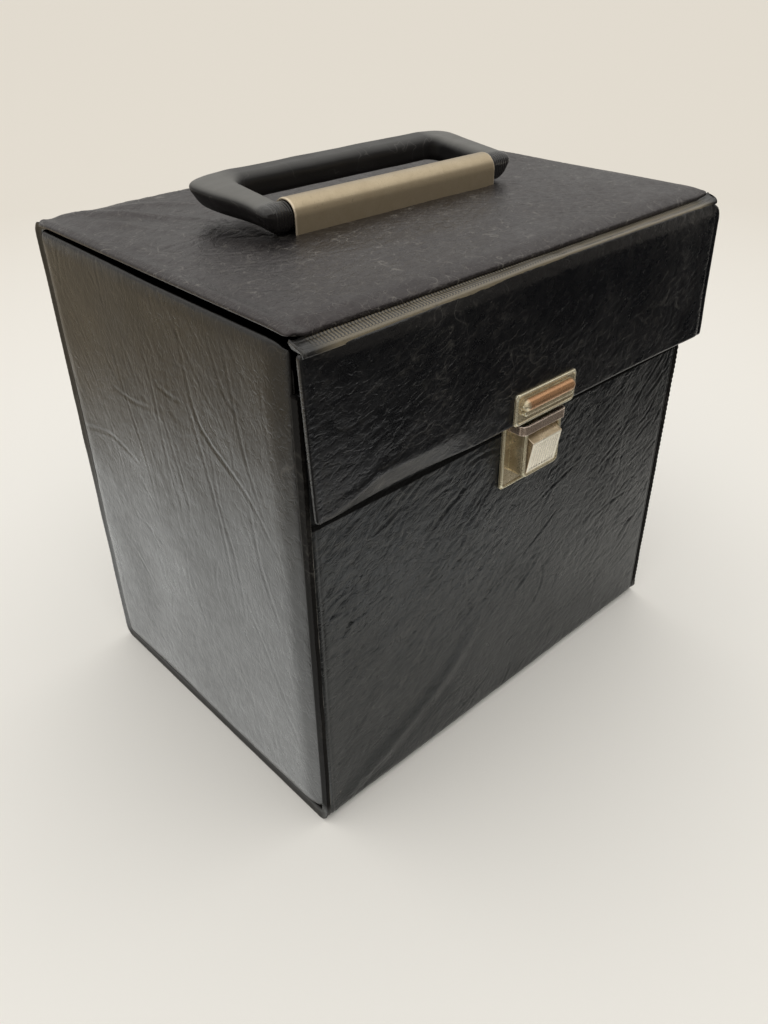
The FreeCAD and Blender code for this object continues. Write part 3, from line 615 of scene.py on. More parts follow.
def brass(name, bright, dull, polish, rub_and_highlight=0.8, grit=0.5, mottle=0.8, face=None, grip=None):
    """Tarnished plating: sharp edges lightened, partly rubbed metal and partly painted highlight; hollows
    darkened, partly tarnish and partly painted shade; dull patches and fine pits.

    face is a colour for the parts that look forward; grip is (low z, high z, back y, colour) of a bar.
    """
    f = Finish(name)
    patch = f.noise(f.even(5.5), 1.0, 5.0, 0.65, 0.3)
    fine = f.noise(f.even(0.55), 1.0, 3.0, 0.6)
    brushed = f.noise(f.along((0, 0, 0), (14, 0.45, 0.45)), 1.0, 3.0, 0.55)
    pits = f.span(f.noise(f.even(0.8), 1.0, 1.0), 0.68, 0.76)
    edge = f.add("ShaderNodeNewGeometry").outputs["Pointiness"]
    # By pointiness: sharp edges get a painted highlight, which also stands for rubbed metal; hollows get
    # painted shade, which also stands for tarnish.
    rubbed_and_highlit = f.span(edge, 0.506, 0.535, 0.0, rub_and_highlight)
    painted_shade = f.span(edge, 0.440, 0.494, 0.85, 0.0)
    tone = f.mix(f.span(patch, 0.38, 0.62, 0.5 - 0.5 * mottle, 0.5 + 0.5 * mottle), dull, bright)
    speckle = f.times(f.span(fine, 0.50, 0.72), 0.30 * mottle)
    tone = f.mix(speckle, tone, tuple(0.6 * c for c in dull))
    if face is not None:
        look = f.facing()
        tone = f.mix(f.span(look["Y"], -0.80, -0.95), tone, face)
    if grip is not None:
        low, high, front, colour = grip
        spot = f.parts(f.place)
        inside = f.times(f.span(spot["Z"], low * MM, (low + 0.4) * MM),
                         f.span(spot["Z"], high * MM, (high - 0.3) * MM))
        inside = f.times(inside, f.span(spot["Y"], front * MM, (front - 0.3) * MM))
        inside = f.times(inside, f.span(spot["X"], -13.0 * MM, -11.5 * MM))
        tone = f.mix(inside, tone, colour)
    # Painted highlight on the sharp edges, then painted shade in the hollows.
    tone = f.mix(rubbed_and_highlit, tone, tuple(min(1.0, 1.35 * c + 0.22) for c in bright))
    tone = f.mix(painted_shade, tone, tuple(0.16 * c for c in dull))
    tone = f.mix(f.times(pits, 0.6 * mottle), tone, (0.07, 0.055, 0.04))
    normal = f.bump(brushed, 0.02, 0.6)
    normal = f.bump(fine, 0.03, grit, normal)
    gloss = f.calc("ADD", f.span(patch, 0.35, 0.65, polish + 0.10 * mottle, polish - 0.06 * mottle),
                   f.span(fine, 0.3, 0.7, -0.05, 0.07))
    return f.set(Base_Color=tone, Metallic=0.72, Roughness=gloss, Normal=normal)


def moulded(name, elbow_y, elbow_x):
    """Black moulded plastic: upward faces of the arms painted a satin grey as a painted sheen; glossy and
    finely ribbed at the front elbows.
    """
    f = Finish(name)
    patch = f.noise(f.even(16), 1.0, 4.0, 0.6)
    fine = f.noise(f.even(0.7), 1.0, 3.0, 0.6)
    flow = f.noise(f.along((0, 0, 0), (22, 3.0, 3.0)), 1.0, 3.0, 0.5)
    scratch = f.times(f.hairlines(f.along((10, 25, 40), (11, 11, 11)), 1.0, 0.010),
                      f.span(patch, 0.45, 0.6, 0.0, 0.5))
    spot = f.parts(f.place)
    elbow = f.span(spot["Y"], (elbow_y + 6) * MM, (elbow_y + 3) * MM)
    across = f.calc("ABSOLUTE", spot["X"])
    ribs = f.calc("SINE", f.times(across, 2 * math.pi / (1.15 * MM)))
    near_sleeve = f.span(across, (elbow_x + 9) * MM, (elbow_x + 6) * MM)
    ribs = f.times(f.times(ribs, near_sleeve), elbow)
    # Painted sheen: faces that look up, mostly on the arms and less at the elbows, are painted light grey and
    # reflect more, standing for the light they catch.
    look = f.facing()
    arms = f.span(across, (elbow_x - 4) * MM, (elbow_x + 3) * MM, 0.22, 1.0)
    painted_sheen = f.times(f.span(look["Z"], 0.35, 0.9), f.span(elbow, 0.0, 1.0, 1.0, 0.1))
    painted_sheen = f.times(painted_sheen, arms)
    base = f.mix(patch, (0.008, 0.0075, 0.0075), (0.013, 0.012, 0.012))
    base = f.mix(painted_sheen, base, (0.092, 0.090, 0.081))
    base = f.mix(scratch, base, (0.11, 0.105, 0.10))
    gloss = f.calc("ADD", f.span(patch, 0.35, 0.65, 0.40, 0.48), f.span(flow, 0.3, 0.7, -0.04, 0.05))
    gloss = f.calc("SUBTRACT", gloss, f.times(elbow, 0.26))
    normal = f.bump(flow, 0.10, 0.35)
    normal = f.bump(ribs, 0.13, 0.9, normal)
    normal = f.bump(fine, 0.02, 0.6, normal)
    return f.set(Base_Color=base, Roughness=gloss, Normal=normal, IOR=1.52,
                 Specular_IOR_Level=f.span(painted_sheen, 0.0, 0.6, 0.38, 0.70))


def board(name, light, dark):
    """Grey paperboard: pressed fibres and flecks."""
    f = Finish(name)
    fibres = f.noise(f.along((0, 0, 0), (3.5, 1.2, 0.8)), 1.0, 5.0, 0.7)
    flecks = f.span(f.noise(f.even(0.6), 1.0, 2.0), 0.62, 0.72, 0.0, 0.5)
    base = f.mix(fibres, dark, light)
    base = f.mix(flecks, base, tuple(0.5 * c for c in dark))
    return f.set(Base_Color=base, Roughness=f.span(fibres, 0.3, 0.7, 0.78, 0.92),
                 Normal=f.bump(fibres, 0.12, 0.6))


def lining_vinyl(name, light, dark):
    """Thin dark lining: a faint woven emboss and slow patches."""
    f = Finish(name)
    patch = f.noise(f.even(30), 1.0, 4.0, 0.6)
    threads = [f.add("ShaderNodeTexWave", {"Vector": f.even(1), "Scale": 0.9,
                                           "Distortion": 1.2, "Detail": 1.0}, bands_direction=way)
               for way in ("X", "Y", "Z")]
    weave = threads[0].outputs["Fac"]
    for thread in threads[1:]:
        weave = f.calc("MAXIMUM", weave, thread.outputs["Fac"])
    base = f.mix(f.span(patch, 0.35, 0.65), dark, light)
    base = f.mix(f.span(weave, 0.2, 1.0, 0.25, 0.0), base, tuple(0.6 * c for c in dark))
    return f.set(Base_Color=base, Roughness=f.span(patch, 0.3, 0.7, 0.70, 0.85),
                 Normal=f.bump(weave, 0.05, 0.6))


SIDE_GRAIN, FRONT_GRAIN, TOP_GRAIN = 104, 27, 32
SIDE_VINYL = vinyl("side_vinyl", (180 - SIDE_GRAIN, 0, 0), relief=0.55, dust=0.5, tint=(1.05, 0.97, 0.88))
# The front's band from z 135.9 to 140.0 mm is painted shade under the flap's edge.
FRONT_VINYL = vinyl("front_vinyl", (0, -FRONT_GRAIN, 0), relief=1.1, tint=(0.95, 1.0, 1.05),
                    gleam=(0.93, 0.98, 1.0), painted_shade=(135.9, 140.0))
FLAP_VINYL = vinyl("flap_vinyl", (0, -20, 0), tone=0.6, polish=0.27, relief=0.5, tint=(0.95, 0.97, 1.08))
TOP_VINYL = vinyl("top_vinyl", (0, 0, TOP_GRAIN), dust=1.3, polish=0.34, relief=0.9, hairs=0.45,
                  tint=(1.08, 0.97, 1.0), gleam=(0.92, 0.82, 0.83))
TRIM_VINYL = vinyl("trim_vinyl", (0, 0, 0), tone=0.6, polish=0.36, relief=0.3, tint=(1.1, 0.97, 0.86),
                   dull_front=FRONT)
STRIP_VINYL = vinyl("strip_vinyl", (0, 0, 0), tone=16.0, dust=1.4, polish=0.30, relief=0.1,
                    tint=(1.25, 1.05, 0.70), dark_ends=PANEL_HALF - 1, ribs=1.25)
SLEEVE = brass("sleeve_metal", (0.50, 0.415, 0.285), (0.42, 0.34, 0.225), 0.33, rub_and_highlight=0.5, grit=0.25,
               mottle=0.4)
STRIKE = brass("strike_metal", (0.74, 0.65, 0.45), (0.46, 0.375, 0.24), 0.25, rub_and_highlight=1.0, mottle=0.6,
               grip=(149.2, 153.6, -85.0, (0.52, 0.285, 0.145)))
LOCK = brass("lock_metal", (0.70, 0.60, 0.41), (0.34, 0.27, 0.16), 0.27, rub_and_highlight=1.0, mottle=0.7)
COLLAR = brass("collar_metal", (0.56, 0.45, 0.365), (0.36, 0.275, 0.215), 0.24, rub_and_highlight=1.0, mottle=0.6)
NICKEL = brass("button_metal", (0.55, 0.45, 0.31), (0.30, 0.23, 0.14), 0.30, face=(0.95, 0.90, 0.75))
STEEL = brass("steel", (0.27, 0.265, 0.255), (0.16, 0.155, 0.15), 0.42)
SLEEVE_LOW, SLEEVE_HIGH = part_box("handle_bracket")
PLASTIC = moulded("handle_plastic", SLEEVE_LOW.y / MM + 8, SLEEVE_HIGH.x / MM)
GREYBOARD = board("greyboard", (0.30, 0.28, 0.25), (0.22, 0.205, 0.18))
LINING = lining_vinyl("lining_vinyl", (0.024, 0.022, 0.021), (0.015, 0.014, 0.0135))


# ------------------------------------------------------------------ panels

def edge_fall(a, b, half_a, half_b, wide, deep):
    """The panel sinks softly towards its edges."""
    gap = np.minimum(half_a - np.abs(a), half_b - np.abs(b))
    return -deep * (1 - soft_step(gap, 0, wide)) ** 1.5


def swell(a, b, seed, size=34.0, deep=0.35):
    """Slow waves in the skin."""
    return deep * fractal(a / size, b / size, seed, 2)


def ridge(a, b, points, wide, tall, pinch=0.35):
    """A soft pucker: a raised fold with hollows beside it."""
    return stroke(a, b, points, wide, -tall, pinch)


LIP_GAP = 0.6  # the side's skin stops this far under the tops of its board and welts
REAR_LIFT = 1.3  # and rises towards the rear hinge by this
LEDGE_FALL = 2.2  # its top edge slopes inwards by this
FRONT_ROLL = 1.3  # the side falls away this much more at its front edge


def side_panel(name, board_side, seed, marks):
    """A side's skin over its board. marks are the creases of this side, as (points, width, depth)."""
    top = SIDE_TOP - LIP_GAP
    wide, tall = 2 * SIDE_REACH, top - SIDE_FOOT
    middle = (top + SIDE_FOOT) / 2
    x = LEFT if board_side < 0 else RIGHT
    lean = SIDE_GRAIN if board_side < 0 else 180 - SIDE_GRAIN

    def place(a, b, n):
        y = board_side * a
        lift = REAR_LIFT * soft_step(y, -20, 74) * soft_step(b, tall / 2 - 30, tall / 2)
        sunk = LEDGE_FALL * soft_step(-n, 1.0, 3.2) * soft_step(b, tall / 2 - 3, tall / 2 - 0.5)
        return np.stack([x + board_side * n, y, middle + b + lift - sunk], axis=-1)

    def height(a, b):
        y, z = board_side * a, b + middle
        rise = edge_fall(a, b, wide / 2, tall / 2, 7.5, 0.75) + swell(a, b, seed)
        rise = rise - FRONT_ROLL * (1 - soft_step(y, -wide / 2, 11 - wide / 2)) ** 1.6
        lines = grain(a, b, lean, seed, long=0.06, cross=0.035, short=0.03)
        lines = lines + scattered_strokes(a, b, lean, 55, seed + 1, (14, 58), (0.02, 0.08))
        lines = lines + scattered_strokes(a, b, lean + 35, 22, seed + 2, (10, 30), (0.02, 0.07))
        for points, width, depth in marks:
            lines = lines + stroke(y, z, points, width, 0.7 * depth)
        return rise + lines
    skin = pillow(name, (wide, tall), place, 2.4, 3.2, height, SIDE_VINYL, step=0.66,
                  plan=lambda a, b: np.full(b.shape, 4.0))
    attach(skin, "case")
    return skin


# Long creases of the left side, as (y, z) points.
LEFT_MARKS = [
    ([(-18, 192), (-22, 161), (-29, 150), (-48, 138), (-63, 122)], 0.9, 0.24),
    ([(-44, 191), (-46, 176), (-48, 161), (-52, 146), (-57, 134)], 0.8, 0.20),
    ([(35, 148), (21, 147), (6, 149)], 0.8, 0.16),
    ([(2, 161), (-7, 159), (-15, 159)], 0.8, 0.16),
    ([(71, 118), (48, 123), (34, 121), (22, 117)], 0.9, 0.16),
    ([(-16, 168), (-24, 140), (-30, 112), (-33, 84)], 0.8, 0.17),
    ([(-36, 190), (-42, 172), (-49, 166)], 0.8, 0.17),
    ([(-29, 150), (-30, 126), (-36, 104), (-38, 80)], 0.8, 0.16),
    ([(10, 182), (4, 160), (2, 131), (-5, 108)], 0.8, 0.14),
    ([(30, 176), (26, 148), (18, 120), (14, 90)], 0.8, 0.13),
    ([(-48, 138), (-52, 112), (-60, 90)], 0.8, 0.17),
    ([(52, 160), (44, 128), (40, 100)], 0.8, 0.12),
]
left_skin = side_panel("left_side_skin", -1, 11, LEFT_MARKS)
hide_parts("left_side_cover", "left_side_board")
right_skin = side_panel("right_side_skin", 1, 47, [])
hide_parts("right_side_cover", "right_side_board")


DOT_PITCH = 2.3


def weld_margin(x, along, half, wide=5.4, line=4.3):
    """The flattened strip along a panel's welded ends: a groove inside it and a row of weld dots."""
    gap = half + 3.6 - np.abs(x)
    groove = -0.35 * np.exp(-((gap - wide) / 0.45) ** 2)
    dots = 0.12 * np.exp(-((gap - line) / 0.5) ** 2) * np.cos(2 * math.pi * along / DOT_PITCH)
    flat = 1 - soft_step(gap, wide - 0.3, wide + 3.5)
    return groove + dots, flat


def front_height(x, s):
    """The front's skin: s runs from the top edge's inside down the face and under the box."""
    z = FRONT_TOP + 0.4 - (s - 3.0)
    groove, flat = weld_margin(x, z, PANEL_HALF)
    rise = grain(x, z, FRONT_GRAIN, 71, long=0.18, cross=0.13, short=0.14)
    rise = rise - 0.13 * wrinkles(x, z, FRONT_GRAIN - 12, 8.0, 2.6, 77, width=0.22)
    rise = rise + scattered_strokes(x, z, FRONT_GRAIN, 110, 72, (8, 40), (0.10, 0.28))
    rise = rise + scattered_strokes(x, z, FRONT_GRAIN + 35, 36, 73, (8, 24), (0.05, 0.14))
    near_left = np.clip(1 - (x + PANEL_HALF) / 46, 0, 1)
    puckers = wrinkles(x, z, FRONT_GRAIN - 14, 9.0, 2.8, 76, width=0.3)
    rise = rise - 0.42 * near_left * puckers
    rise = rise * (1 - flat)
    waves = swell(x, z, 74, 30, 0.30) * (1 - flat)
    waves = waves + ridge(x, z, [(-98, 3), (-84, 11), (-66, 19), (-40, 34), (-20, 52)], 3.6, 1.1)
    waves = waves + ridge(x, z, [(-98, 60), (-80, 66), (-52, 82)], 5.0, 0.30)
    calm = soft_step(s, 3.0, 9.0) * (1 - soft_step(s, 176, 186))
    return (rise + waves) * calm + groove * soft_step(s, 2, 4)


def back_height(x, s):
    """The back's skin: s runs up the back from under the box."""
    groove, flat = weld_margin(x, s, PANEL_HALF)
    rise = grain(x, s, 150, 91) + scattered_strokes(x, s, 150, 110, 92, (10, 44), (0.05, 0.16))
    waves = swell(x, s, 94, 34, 0.35)
    calm = soft_step(s, 77, 86) * (1 - soft_step(s, 258, 268))
    return (rise + waves) * (1 - flat) * calm + groove


FACE_BEND, TOP_BEND = 5.0, 1.1
SKIN = 0.9
front_skin = bent_skin(
    "front_skin",
    [(FRONT + 3.7, FRONT_TOP + 0.4), (FRONT, FRONT_TOP + 0.4), (FRONT, 0), (0, 0)], (TOP_BEND, FACE_BEND),
    [(0, 0.75), (FRONT + 5.5, 0.75), (FRONT + SKIN, 5.4), (FRONT + SKIN, FRONT_TOP + 0.05),
     (FRONT + 3.7, FRONT_TOP + 0.05)],
    PANEL_HALF, front_height, FRONT_VINYL, step=0.77, side=-1)
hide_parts("front_cover", "bottom_cover")
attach(front_skin, "case")
BACK_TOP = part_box("back_cover")[1].z / MM
back_skin = bent_skin(
    "back_skin",
    [(0.02, 0), (BACK, 0), (BACK, BACK_TOP)], (FACE_BEND,),
    [(BACK - SKIN, BACK_TOP), (BACK - SKIN, 5.4), (BACK - 5.5, 0.75), (0.02, 0.75)],
    PANEL_HALF, back_height, FRONT_VINYL, step=1.0, side=-1)
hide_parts("back_cover")
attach(back_skin, "case")


# The welt's section: (outwards from the middle of the box, outwards from its outline), in half widths.
WELT_SECTION = [
    (-1.0, -1.0), (-1.0, -0.2), (-1.0, 0.55), (-0.92, 0.80), (-0.6, 0.86), (-0.2, 0.84), (0.1, 0.80),
    (0.30, 0.82), (0.42, 0.97), (0.50, 1.02), (0.58, 0.97), (0.60, 0.80), (0.50, 0.45), (0.34, 0.1),
    (0.22, -0.4), (0.20, -1.0), (-0.2, -1.0), (-0.6, -1.0),
]


def edge_welt(name, node, side, seed):
    """The welded edge round a side: a thin dotted bead up the front, a margin and a ridge elsewhere.

    Behind, it turns forwards over the side's corner and thins out under the lid's lip.
    """
    low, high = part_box(node)
    middle_x = (low.x + high.x) / 2 / MM
    half = (high.x - low.x) / 2 / MM
    top, front_top = high.z / MM, FRONT_TOP + 0.3
    line = [(FRONT + half, front_top), (FRONT + half, half), (BACK - half, half),
            (BACK - half, top + 1.3), (BACK - half - 9, top + 1.7)]
    path, normal = rounded_path(line, (3.2, 3.2, 3.6), 0.4)
    distance = np.concatenate([[0], np.cumsum(np.linalg.norm(np.diff(path, axis=0), axis=1))])
    section = np.array(WELT_SECTION) * half
    around = len(section)
    s = np.repeat(distance[:, None], around, axis=1)
    size = (1 - 0.75 * soft_step(distance, distance[-1] - 8, distance[-1]))[:, None]
    front_run = (1 - soft_step(distance, front_top - 8, front_top - 3))[:, None]
    across = section[None, :, 0] * np.where(section[None, :, 0] > 0, 1 - 0.8 * front_run, 1)
    out = section[None, :, 1] * size
    outer = section[None, :, 1] > 0.7 * half
    ridge_line = np.exp(-((section[None, :, 0] / half - 0.50) / 0.12) ** 2)
    dots = (0.07 + 0.07 * front_run) * np.cos(2 * math.pi * s / DOT_PITCH) * ridge_line
    out = out + np.where(outer, dots + 0.07 * fractal(s / 9, np.full_like(s, seed), seed, 2), 0) * size
    wander = 0.10 * fractal(s / 14, np.full_like(s, seed + 4), seed + 4, 2)
    x = middle_x + side * (across + np.where(outer, wander, 0))
    y = path[:, 0][:, None] - normal[:, 0][:, None] * out
    z = path[:, 1][:, None] - normal[:, 1][:, None] * out
    points = np.stack([x, y, z], axis=-1).reshape(-1, 3)
    rows = len(distance)
    faces = grid_faces(rows, around, close_columns=True)
    faces.append(tuple(range(around))[::-1])
    faces.append(tuple((rows - 1) * around + k for k in range(around)))
    welt = add_piece(name, points, faces, TRIM_VINYL)
    fix_normals(welt)
    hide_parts(node)
    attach(welt, "case")
    return welt


edge_welt("left_edge_welt", "left_edge_bead", -1, 5)
edge_welt("right_edge_welt", "right_edge_bead", 1, 6)


# ------------------------------------------------------------------ lid

LID_MID = (LID_FRONT + LID_BACK) / 2
LID_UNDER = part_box("lid_lining")[0].z / MM + 0.1
LINING_INSET = 7.0
LINING_LOWER = 7.0  # the side linings stop this far under the tops of their boards
LID_THINS = 1.7
# Soft folds and creases of the lid, as (x, y) points.
LID_FOLDS = [
    ([(-98, 74), (-84, 63), (-71, 44), (-58, 24)], 3.2, 1.0),
    ([(-94, 72), (-76, 66), (-60, 58), (-46, 44)], 3.0, 0.6),
    ([(-96, 66), (-88, 48), (-80, 26), (-74, 8)], 3.0, 0.4),
    ([(-100, 52), (-86, 44), (-72, 30)], 4.5, 0.35),
    ([(-70, -30), (-40, -42), (0, -44), (40, -36)], 7.0, 0.30),
    ([(92, 60), (78, 52), (62, 38)], 5.0, 0.40),
]
LID_MARKS = [
    ([(99, -2), (84, -22), (68, -43), (52, -64)], 1.0, 0.26),
    ([(88, -2), (75, -20), (61, -41), (44, -58)], 1.0, 0.22),
    ([(96, 22), (90, 4), (80, -14)], 0.9, 0.16),
    ([(-88, -20), (-62, -34), (-30, -40)], 0.8, 0.14),
    ([(-60, -54), (-20, -52), (24, -58), (60, -56)], 0.8, 0.13),
    ([(-96, 10), (-84, -8), (-66, -22)], 0.8, 0.14),
    ([(-30, -22), (-10, -30), (8, -46)], 0.8, 0.12),
    ([(20, -20), (32, -34), (36, -52)], 0.8, 0.12),
]


def lid_height(a, b):
    """The lid's skin: falling edges, a lip along the left, folds at the rear left corner, and the grain."""
    y = b + LID_MID
    half_b = (LID_BACK - LID_FRONT) / 2
    rise = edge_fall(a, b, (RIGHT - LEFT) / 2, half_b, 7.0, 0.8) + swell(a, b, 131, 40, 0.30)
    rise = rise - 0.9 * (1 - soft_step(b, -half_b, 9 - half_b)) ** 1.3
    rise = rise - 1.0 * np.exp(-(((a + 82) / 16) ** 2 + ((y - 78) / 12) ** 2))
    gap = a - LEFT
    rise = rise + 0.55 * np.exp(-((gap - 2.6) / 1.2) ** 2) - 0.30 * np.exp(-((gap - 6.5) / 2.0) ** 2)
    for points, wide, tall in LID_FOLDS:
        rise = rise + ridge(a, y, points, wide, tall)
    lines = grain(a, b, TOP_GRAIN, 133, long=0.16, cross=0.12, short=0.12)
    lines = lines + scattered_strokes(a, b, TOP_GRAIN + 100, 46, 134, (16, 52), (0.05, 0.14))
    lines = lines + scattered_strokes(a, b, TOP_GRAIN, 60, 135, (12, 44), (0.04, 0.12))
    for points, wide, deep in LID_MARKS:
        lines = lines + stroke(a, y, points, wide, deep)
    under = (np.abs(a) < SLEEVE_HIGH.x / MM + 9) & (y > SLEEVE_LOW.y / MM - 1) & (y < 38)
    ceiling = np.where(under, 0.0, 9.0)
    return np.minimum(rise + lines, ceiling)


def lid_place(a, b, n):
    """Face coordinates on the lid, whose rim thins from below towards its ends and droops at its corners."""
    thin = LID_THINS * soft_step(np.abs(a), 97, 104.5)
    z = LID_TOP + n * (1 - thin / (LID_TOP - LID_UNDER))
    rear = np.exp(-((np.abs(a) - 105) / 8) ** 2 - ((b - 76) / 8) ** 2)
    front = np.exp(-((np.abs(a) - 105) / 6) ** 2 - ((b + 76) / 6) ** 2)
    return np.stack([a, b + LID_MID, z - 0.7 * rear - 0.3 * front], axis=-1)


lid_skin = pillow("lid_skin", (RIGHT - LEFT, LID_BACK - LID_FRONT), lid_place,
                  2.2, LID_TOP - LID_UNDER, lid_height, TOP_VINYL, step=0.72,
                  plan=lambda a, b: np.where(b > 0, 6.5, 2.4), hem=8.0)
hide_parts("lid_cover", "lid_board")
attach(lid_skin, "lid")


def lining_sheet(name, node, body, place, size):
    """A lining glued inside a panel, its edges short of the panel's turned-in skin."""
    sheet = pillow(name, size, place, 0.15, 0.3, lambda a, b: 0.03 * fractal(a / 14, b / 14, 161, 2),
                   LINING, step=3.0, plan=lambda a, b: np.full(b.shape, 3.0))
    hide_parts(node)
    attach(sheet, body)


lining_sheet("lid_lining_sheet", "lid_lining", "lid",
             place_on((0, LID_MID, LID_UNDER - 0.1), (-1, 0, 0), (0, 1, 0)),
             (RIGHT - LEFT - 2 * LINING_INSET, LID_BACK - LID_FRONT - 2 * LINING_INSET))


for lining, way in (("left_side_lining", 1), ("right_side_lining", -1)):
    low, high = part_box(lining)
    inside = (high if way > 0 else low).x / MM
    tall = (high.z - low.z) / MM - LINING_LOWER
    lining_sheet(lining + "_sheet", lining, "case",
                 place_on((inside, (low.y + high.y) / 2 / MM, low.z / MM + tall / 2), (0, way, 0), (0, 0, 1)),
                 ((high.y - low.y) / MM, tall))


# ------------------------------------------------------------------ flap

FLAP_MID = (FLAP_FOOT + FLAP_HEAD) / 2
FLAP_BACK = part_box("flap_lining")[1].y / MM - 0.1
FLAP_DEEP = FLAP_BACK - FLAP_FACE
FLAP_DRAWN, FLAP_HUGS, FLAP_DROOP, FLAP_THINS = 3.4, 1.7, 2.6, 2.1
FLAP_RISE, FLAP_SPREADS, FLAP_SAGS = 0.7, 1.4, 2.0


def flap_place(a, b, n):
    """Face coordinates on the flap: thin at its left end, its lower left corner drawn in, closer and lower.
    """
    low = np.clip((FLAP_HEAD - FLAP_MID - b) / (FLAP_HEAD - FLAP_FOOT), 0, 1)
    pull = low * soft_step(-a, 30, 104)
    spread = FLAP_SPREADS * low * soft_step(a, 40, 104)
    thin = FLAP_THINS * soft_step(-a, 84, 105)
    y = FLAP_FACE + FLAP_HUGS * pull + thin - 0.6 * spread - n * (1 - thin / FLAP_DEEP)
    droop = FLAP_DROOP * low ** 2 * soft_step(-a, 50, 105) ** 1.5
    head = soft_step(b, FLAP_HEAD - FLAP_MID - 20, FLAP_HEAD - FLAP_MID)
    rise = (FLAP_RISE - FLAP_SAGS * soft_step(-a, -10, 96)) * head
    return np.stack([a + FLAP_DRAWN * pull + spread, y, b + FLAP_MID - droop + rise], axis=-1)


def flap_height(a, b):
    """The flap's skin: welded ends with dots on the left, a facet turned in along the lower left edge."""
    z = b + FLAP_MID
    half_a, half_b = (RIGHT - LEFT) / 2, (FLAP_HEAD - FLAP_FOOT) / 2
    gap = half_a - np.abs(a)
    dots = 0.18 * np.exp(-((gap - 1.9) / 0.5) ** 2) * np.cos(2 * math.pi * z / DOT_PITCH)
    dots = dots * (1 - soft_step(a, 0, 40)) - 0.25 * np.exp(-((gap - 3.4) / 0.9) ** 2)
    sealed = 1 - soft_step(gap, 2.0, 6.5)
    rise = swell(a, b, 151, 36, 0.28) + 0.35 * soft_step(half_b - np.abs(b), 0, 14)
    rise = rise - 1.1 * (1 - soft_step(half_b - b, 0, 5.5)) ** 1.4
    lines = grain(a, b, 20, 152, long=0.08, cross=0.06, short=0.05)
    lines = lines + scattered_strokes(a, b, 22, 34, 153, (10, 40), (0.03, 0.09))
    lines = lines + scattered_strokes(a, b, 70, 14, 154, (8, 20), (0.04, 0.09))
    rise = (rise + lines) * (1 - sealed)
    crest = FLAP_FOOT + 7.5 * np.clip((a + 103) / 22, 0.01, 1)
    turned_in = np.clip(1 - (z - FLAP_FOOT) / (crest - FLAP_FOOT), 0, 1) ** 1.2
    rise = rise - 2.3 * turned_in * soft_step(a, -103, -88) * (1 - soft_step(a, -72, -30))
    rise = rise + 0.4 * np.exp(-((z - crest - 1) / 2.5) ** 2) * (1 - soft_step(a, -80, -30))
    rise = rise + 0.5 * np.exp(-(((a - 98) / 9) ** 2 + ((z - 147) / 8) ** 2))
    return rise + dots


flap_skin = pillow("flap_skin", (RIGHT - LEFT, FLAP_HEAD - FLAP_FOOT), flap_place,
                   1.5, FLAP_DEEP, flap_height, FLAP_VINYL, step=0.6,
                   plan=lambda a, b: np.where((b > 0) & (a > 0), 6.5, 1.5), bent_back=True)
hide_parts("flap_cover", "flap_board")
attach(flap_skin, "flap")


def flap_lining_place(a, b, n):
    """The lining's own face looks back, so its coordinates run the other way."""
    return flap_place(-a, b, -n - FLAP_DEEP - 0.1)


lining_sheet("flap_lining_sheet", "flap_lining", "flap", flap_lining_place,
             (RIGHT - LEFT - 2 * LINING_INSET, FLAP_HEAD - FLAP_FOOT - 2 * LINING_INSET))


# ------------------------------------------------------------------ hinge strips

STRIP_PITCH = 1.25
STRIP_LIFTS = 1.2


def strip_drop(x, share):
    """The strip slopes down to the flap where the flap's head sags, and turns up at its right end."""
    sagging = soft_step(-x, -10, 96)
    return FLAP_SAGS * sagging * share - STRIP_LIFTS * soft_step(x, 92, 103) * (1 - share)


def ribbed(x, s):
    """Weld ribs across the strip, fading before its ends, and a bead along its outer edge."""
    inside = soft_step(PANEL_HALF - np.abs(x), 0, 5)
    ribs = 0.5 + 0.5 * np.cos(2 * math.pi * x / STRIP_PITCH)
    field = (1 - soft_step(s, 3.2, 3.8)) * soft_step(s, 0.4, 1.0)
    bead = np.exp(-((s - 4.25) / 0.32) ** 2)
    return 0.34 * ribs * inside * field + 0.4 * bead + 0.08 * fractal(x / 7, s / 4, 172, 2)


# The strip's top and underside, as (y, z), from the lid's edge over to the flap and back.
STRIP_TOP = [(-76.1, 198.4), (-77.3, 198.1), (-80.9, 198.4), (-81.9, 198.2), (-82.2, 197.2)]
STRIP_UNDER = [(-81.4, 197.2), (-81.0, 197.7), (-77.5, 197.4), (-76.4, 197.7)]
STRIP_HALF = 104.4
crease = bent_skin("crease_strip_skin", STRIP_TOP, (0.8, 0.5, 0.6), STRIP_UNDER, STRIP_HALF, ribbed,
                   STRIP_VINYL, step=0.31, side=1, roll=5.0, dip=1.0, taper=4.0, drop=strip_drop)
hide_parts("crease_strip")
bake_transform(crease)


def rear_wave(x, s):
    """The rear strip's slight swell and waves."""
    return 0.10 * fractal(x / 12, s / 3, 181, 3) + 0.25 * np.sin(math.pi * np.clip(s / 5.2, 0, 1))


REAR_FOOT, REAR_HEAD, REAR_FACE, REAR_INSIDE = 196.0, 199.7, 77.0, 76.3
rear = bent_skin("rear_hinge_skin", [(REAR_FACE, REAR_FOOT), (REAR_FACE, REAR_HEAD)], (),
                 [(REAR_INSIDE, REAR_HEAD), (REAR_INSIDE, REAR_FOOT)],
                 PANEL_HALF, rear_wave, TRIM_VINYL, step=0.5, side=-1)
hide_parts("rear_hinge_strip")
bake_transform(rear)


# ------------------------------------------------------------------ hardware

def quarter_turn(x, y, z, radius, start):
    """A quarter of a circle upright in x and z, from an angle in degrees."""
    return [(x + radius * math.cos(math.radians(t)), y, z + radius * math.sin(math.radians(t)))
            for t in np.linspace(start, start + 90, 7)]


def rounded_loop(half, low, high, y, corner):
    """A closed rounded rectangle upright in x and z, centred on x = 0."""
    points = []
    for x, z, start in ((half, high, 0), (-half, high, 90), (-half, low, 180), (half, low, 270)):
        middle_z = z + (corner if z == low else -corner)
        points += quarter_turn(x - math.copysign(corner, x), y, middle_z, corner, start)
    return points


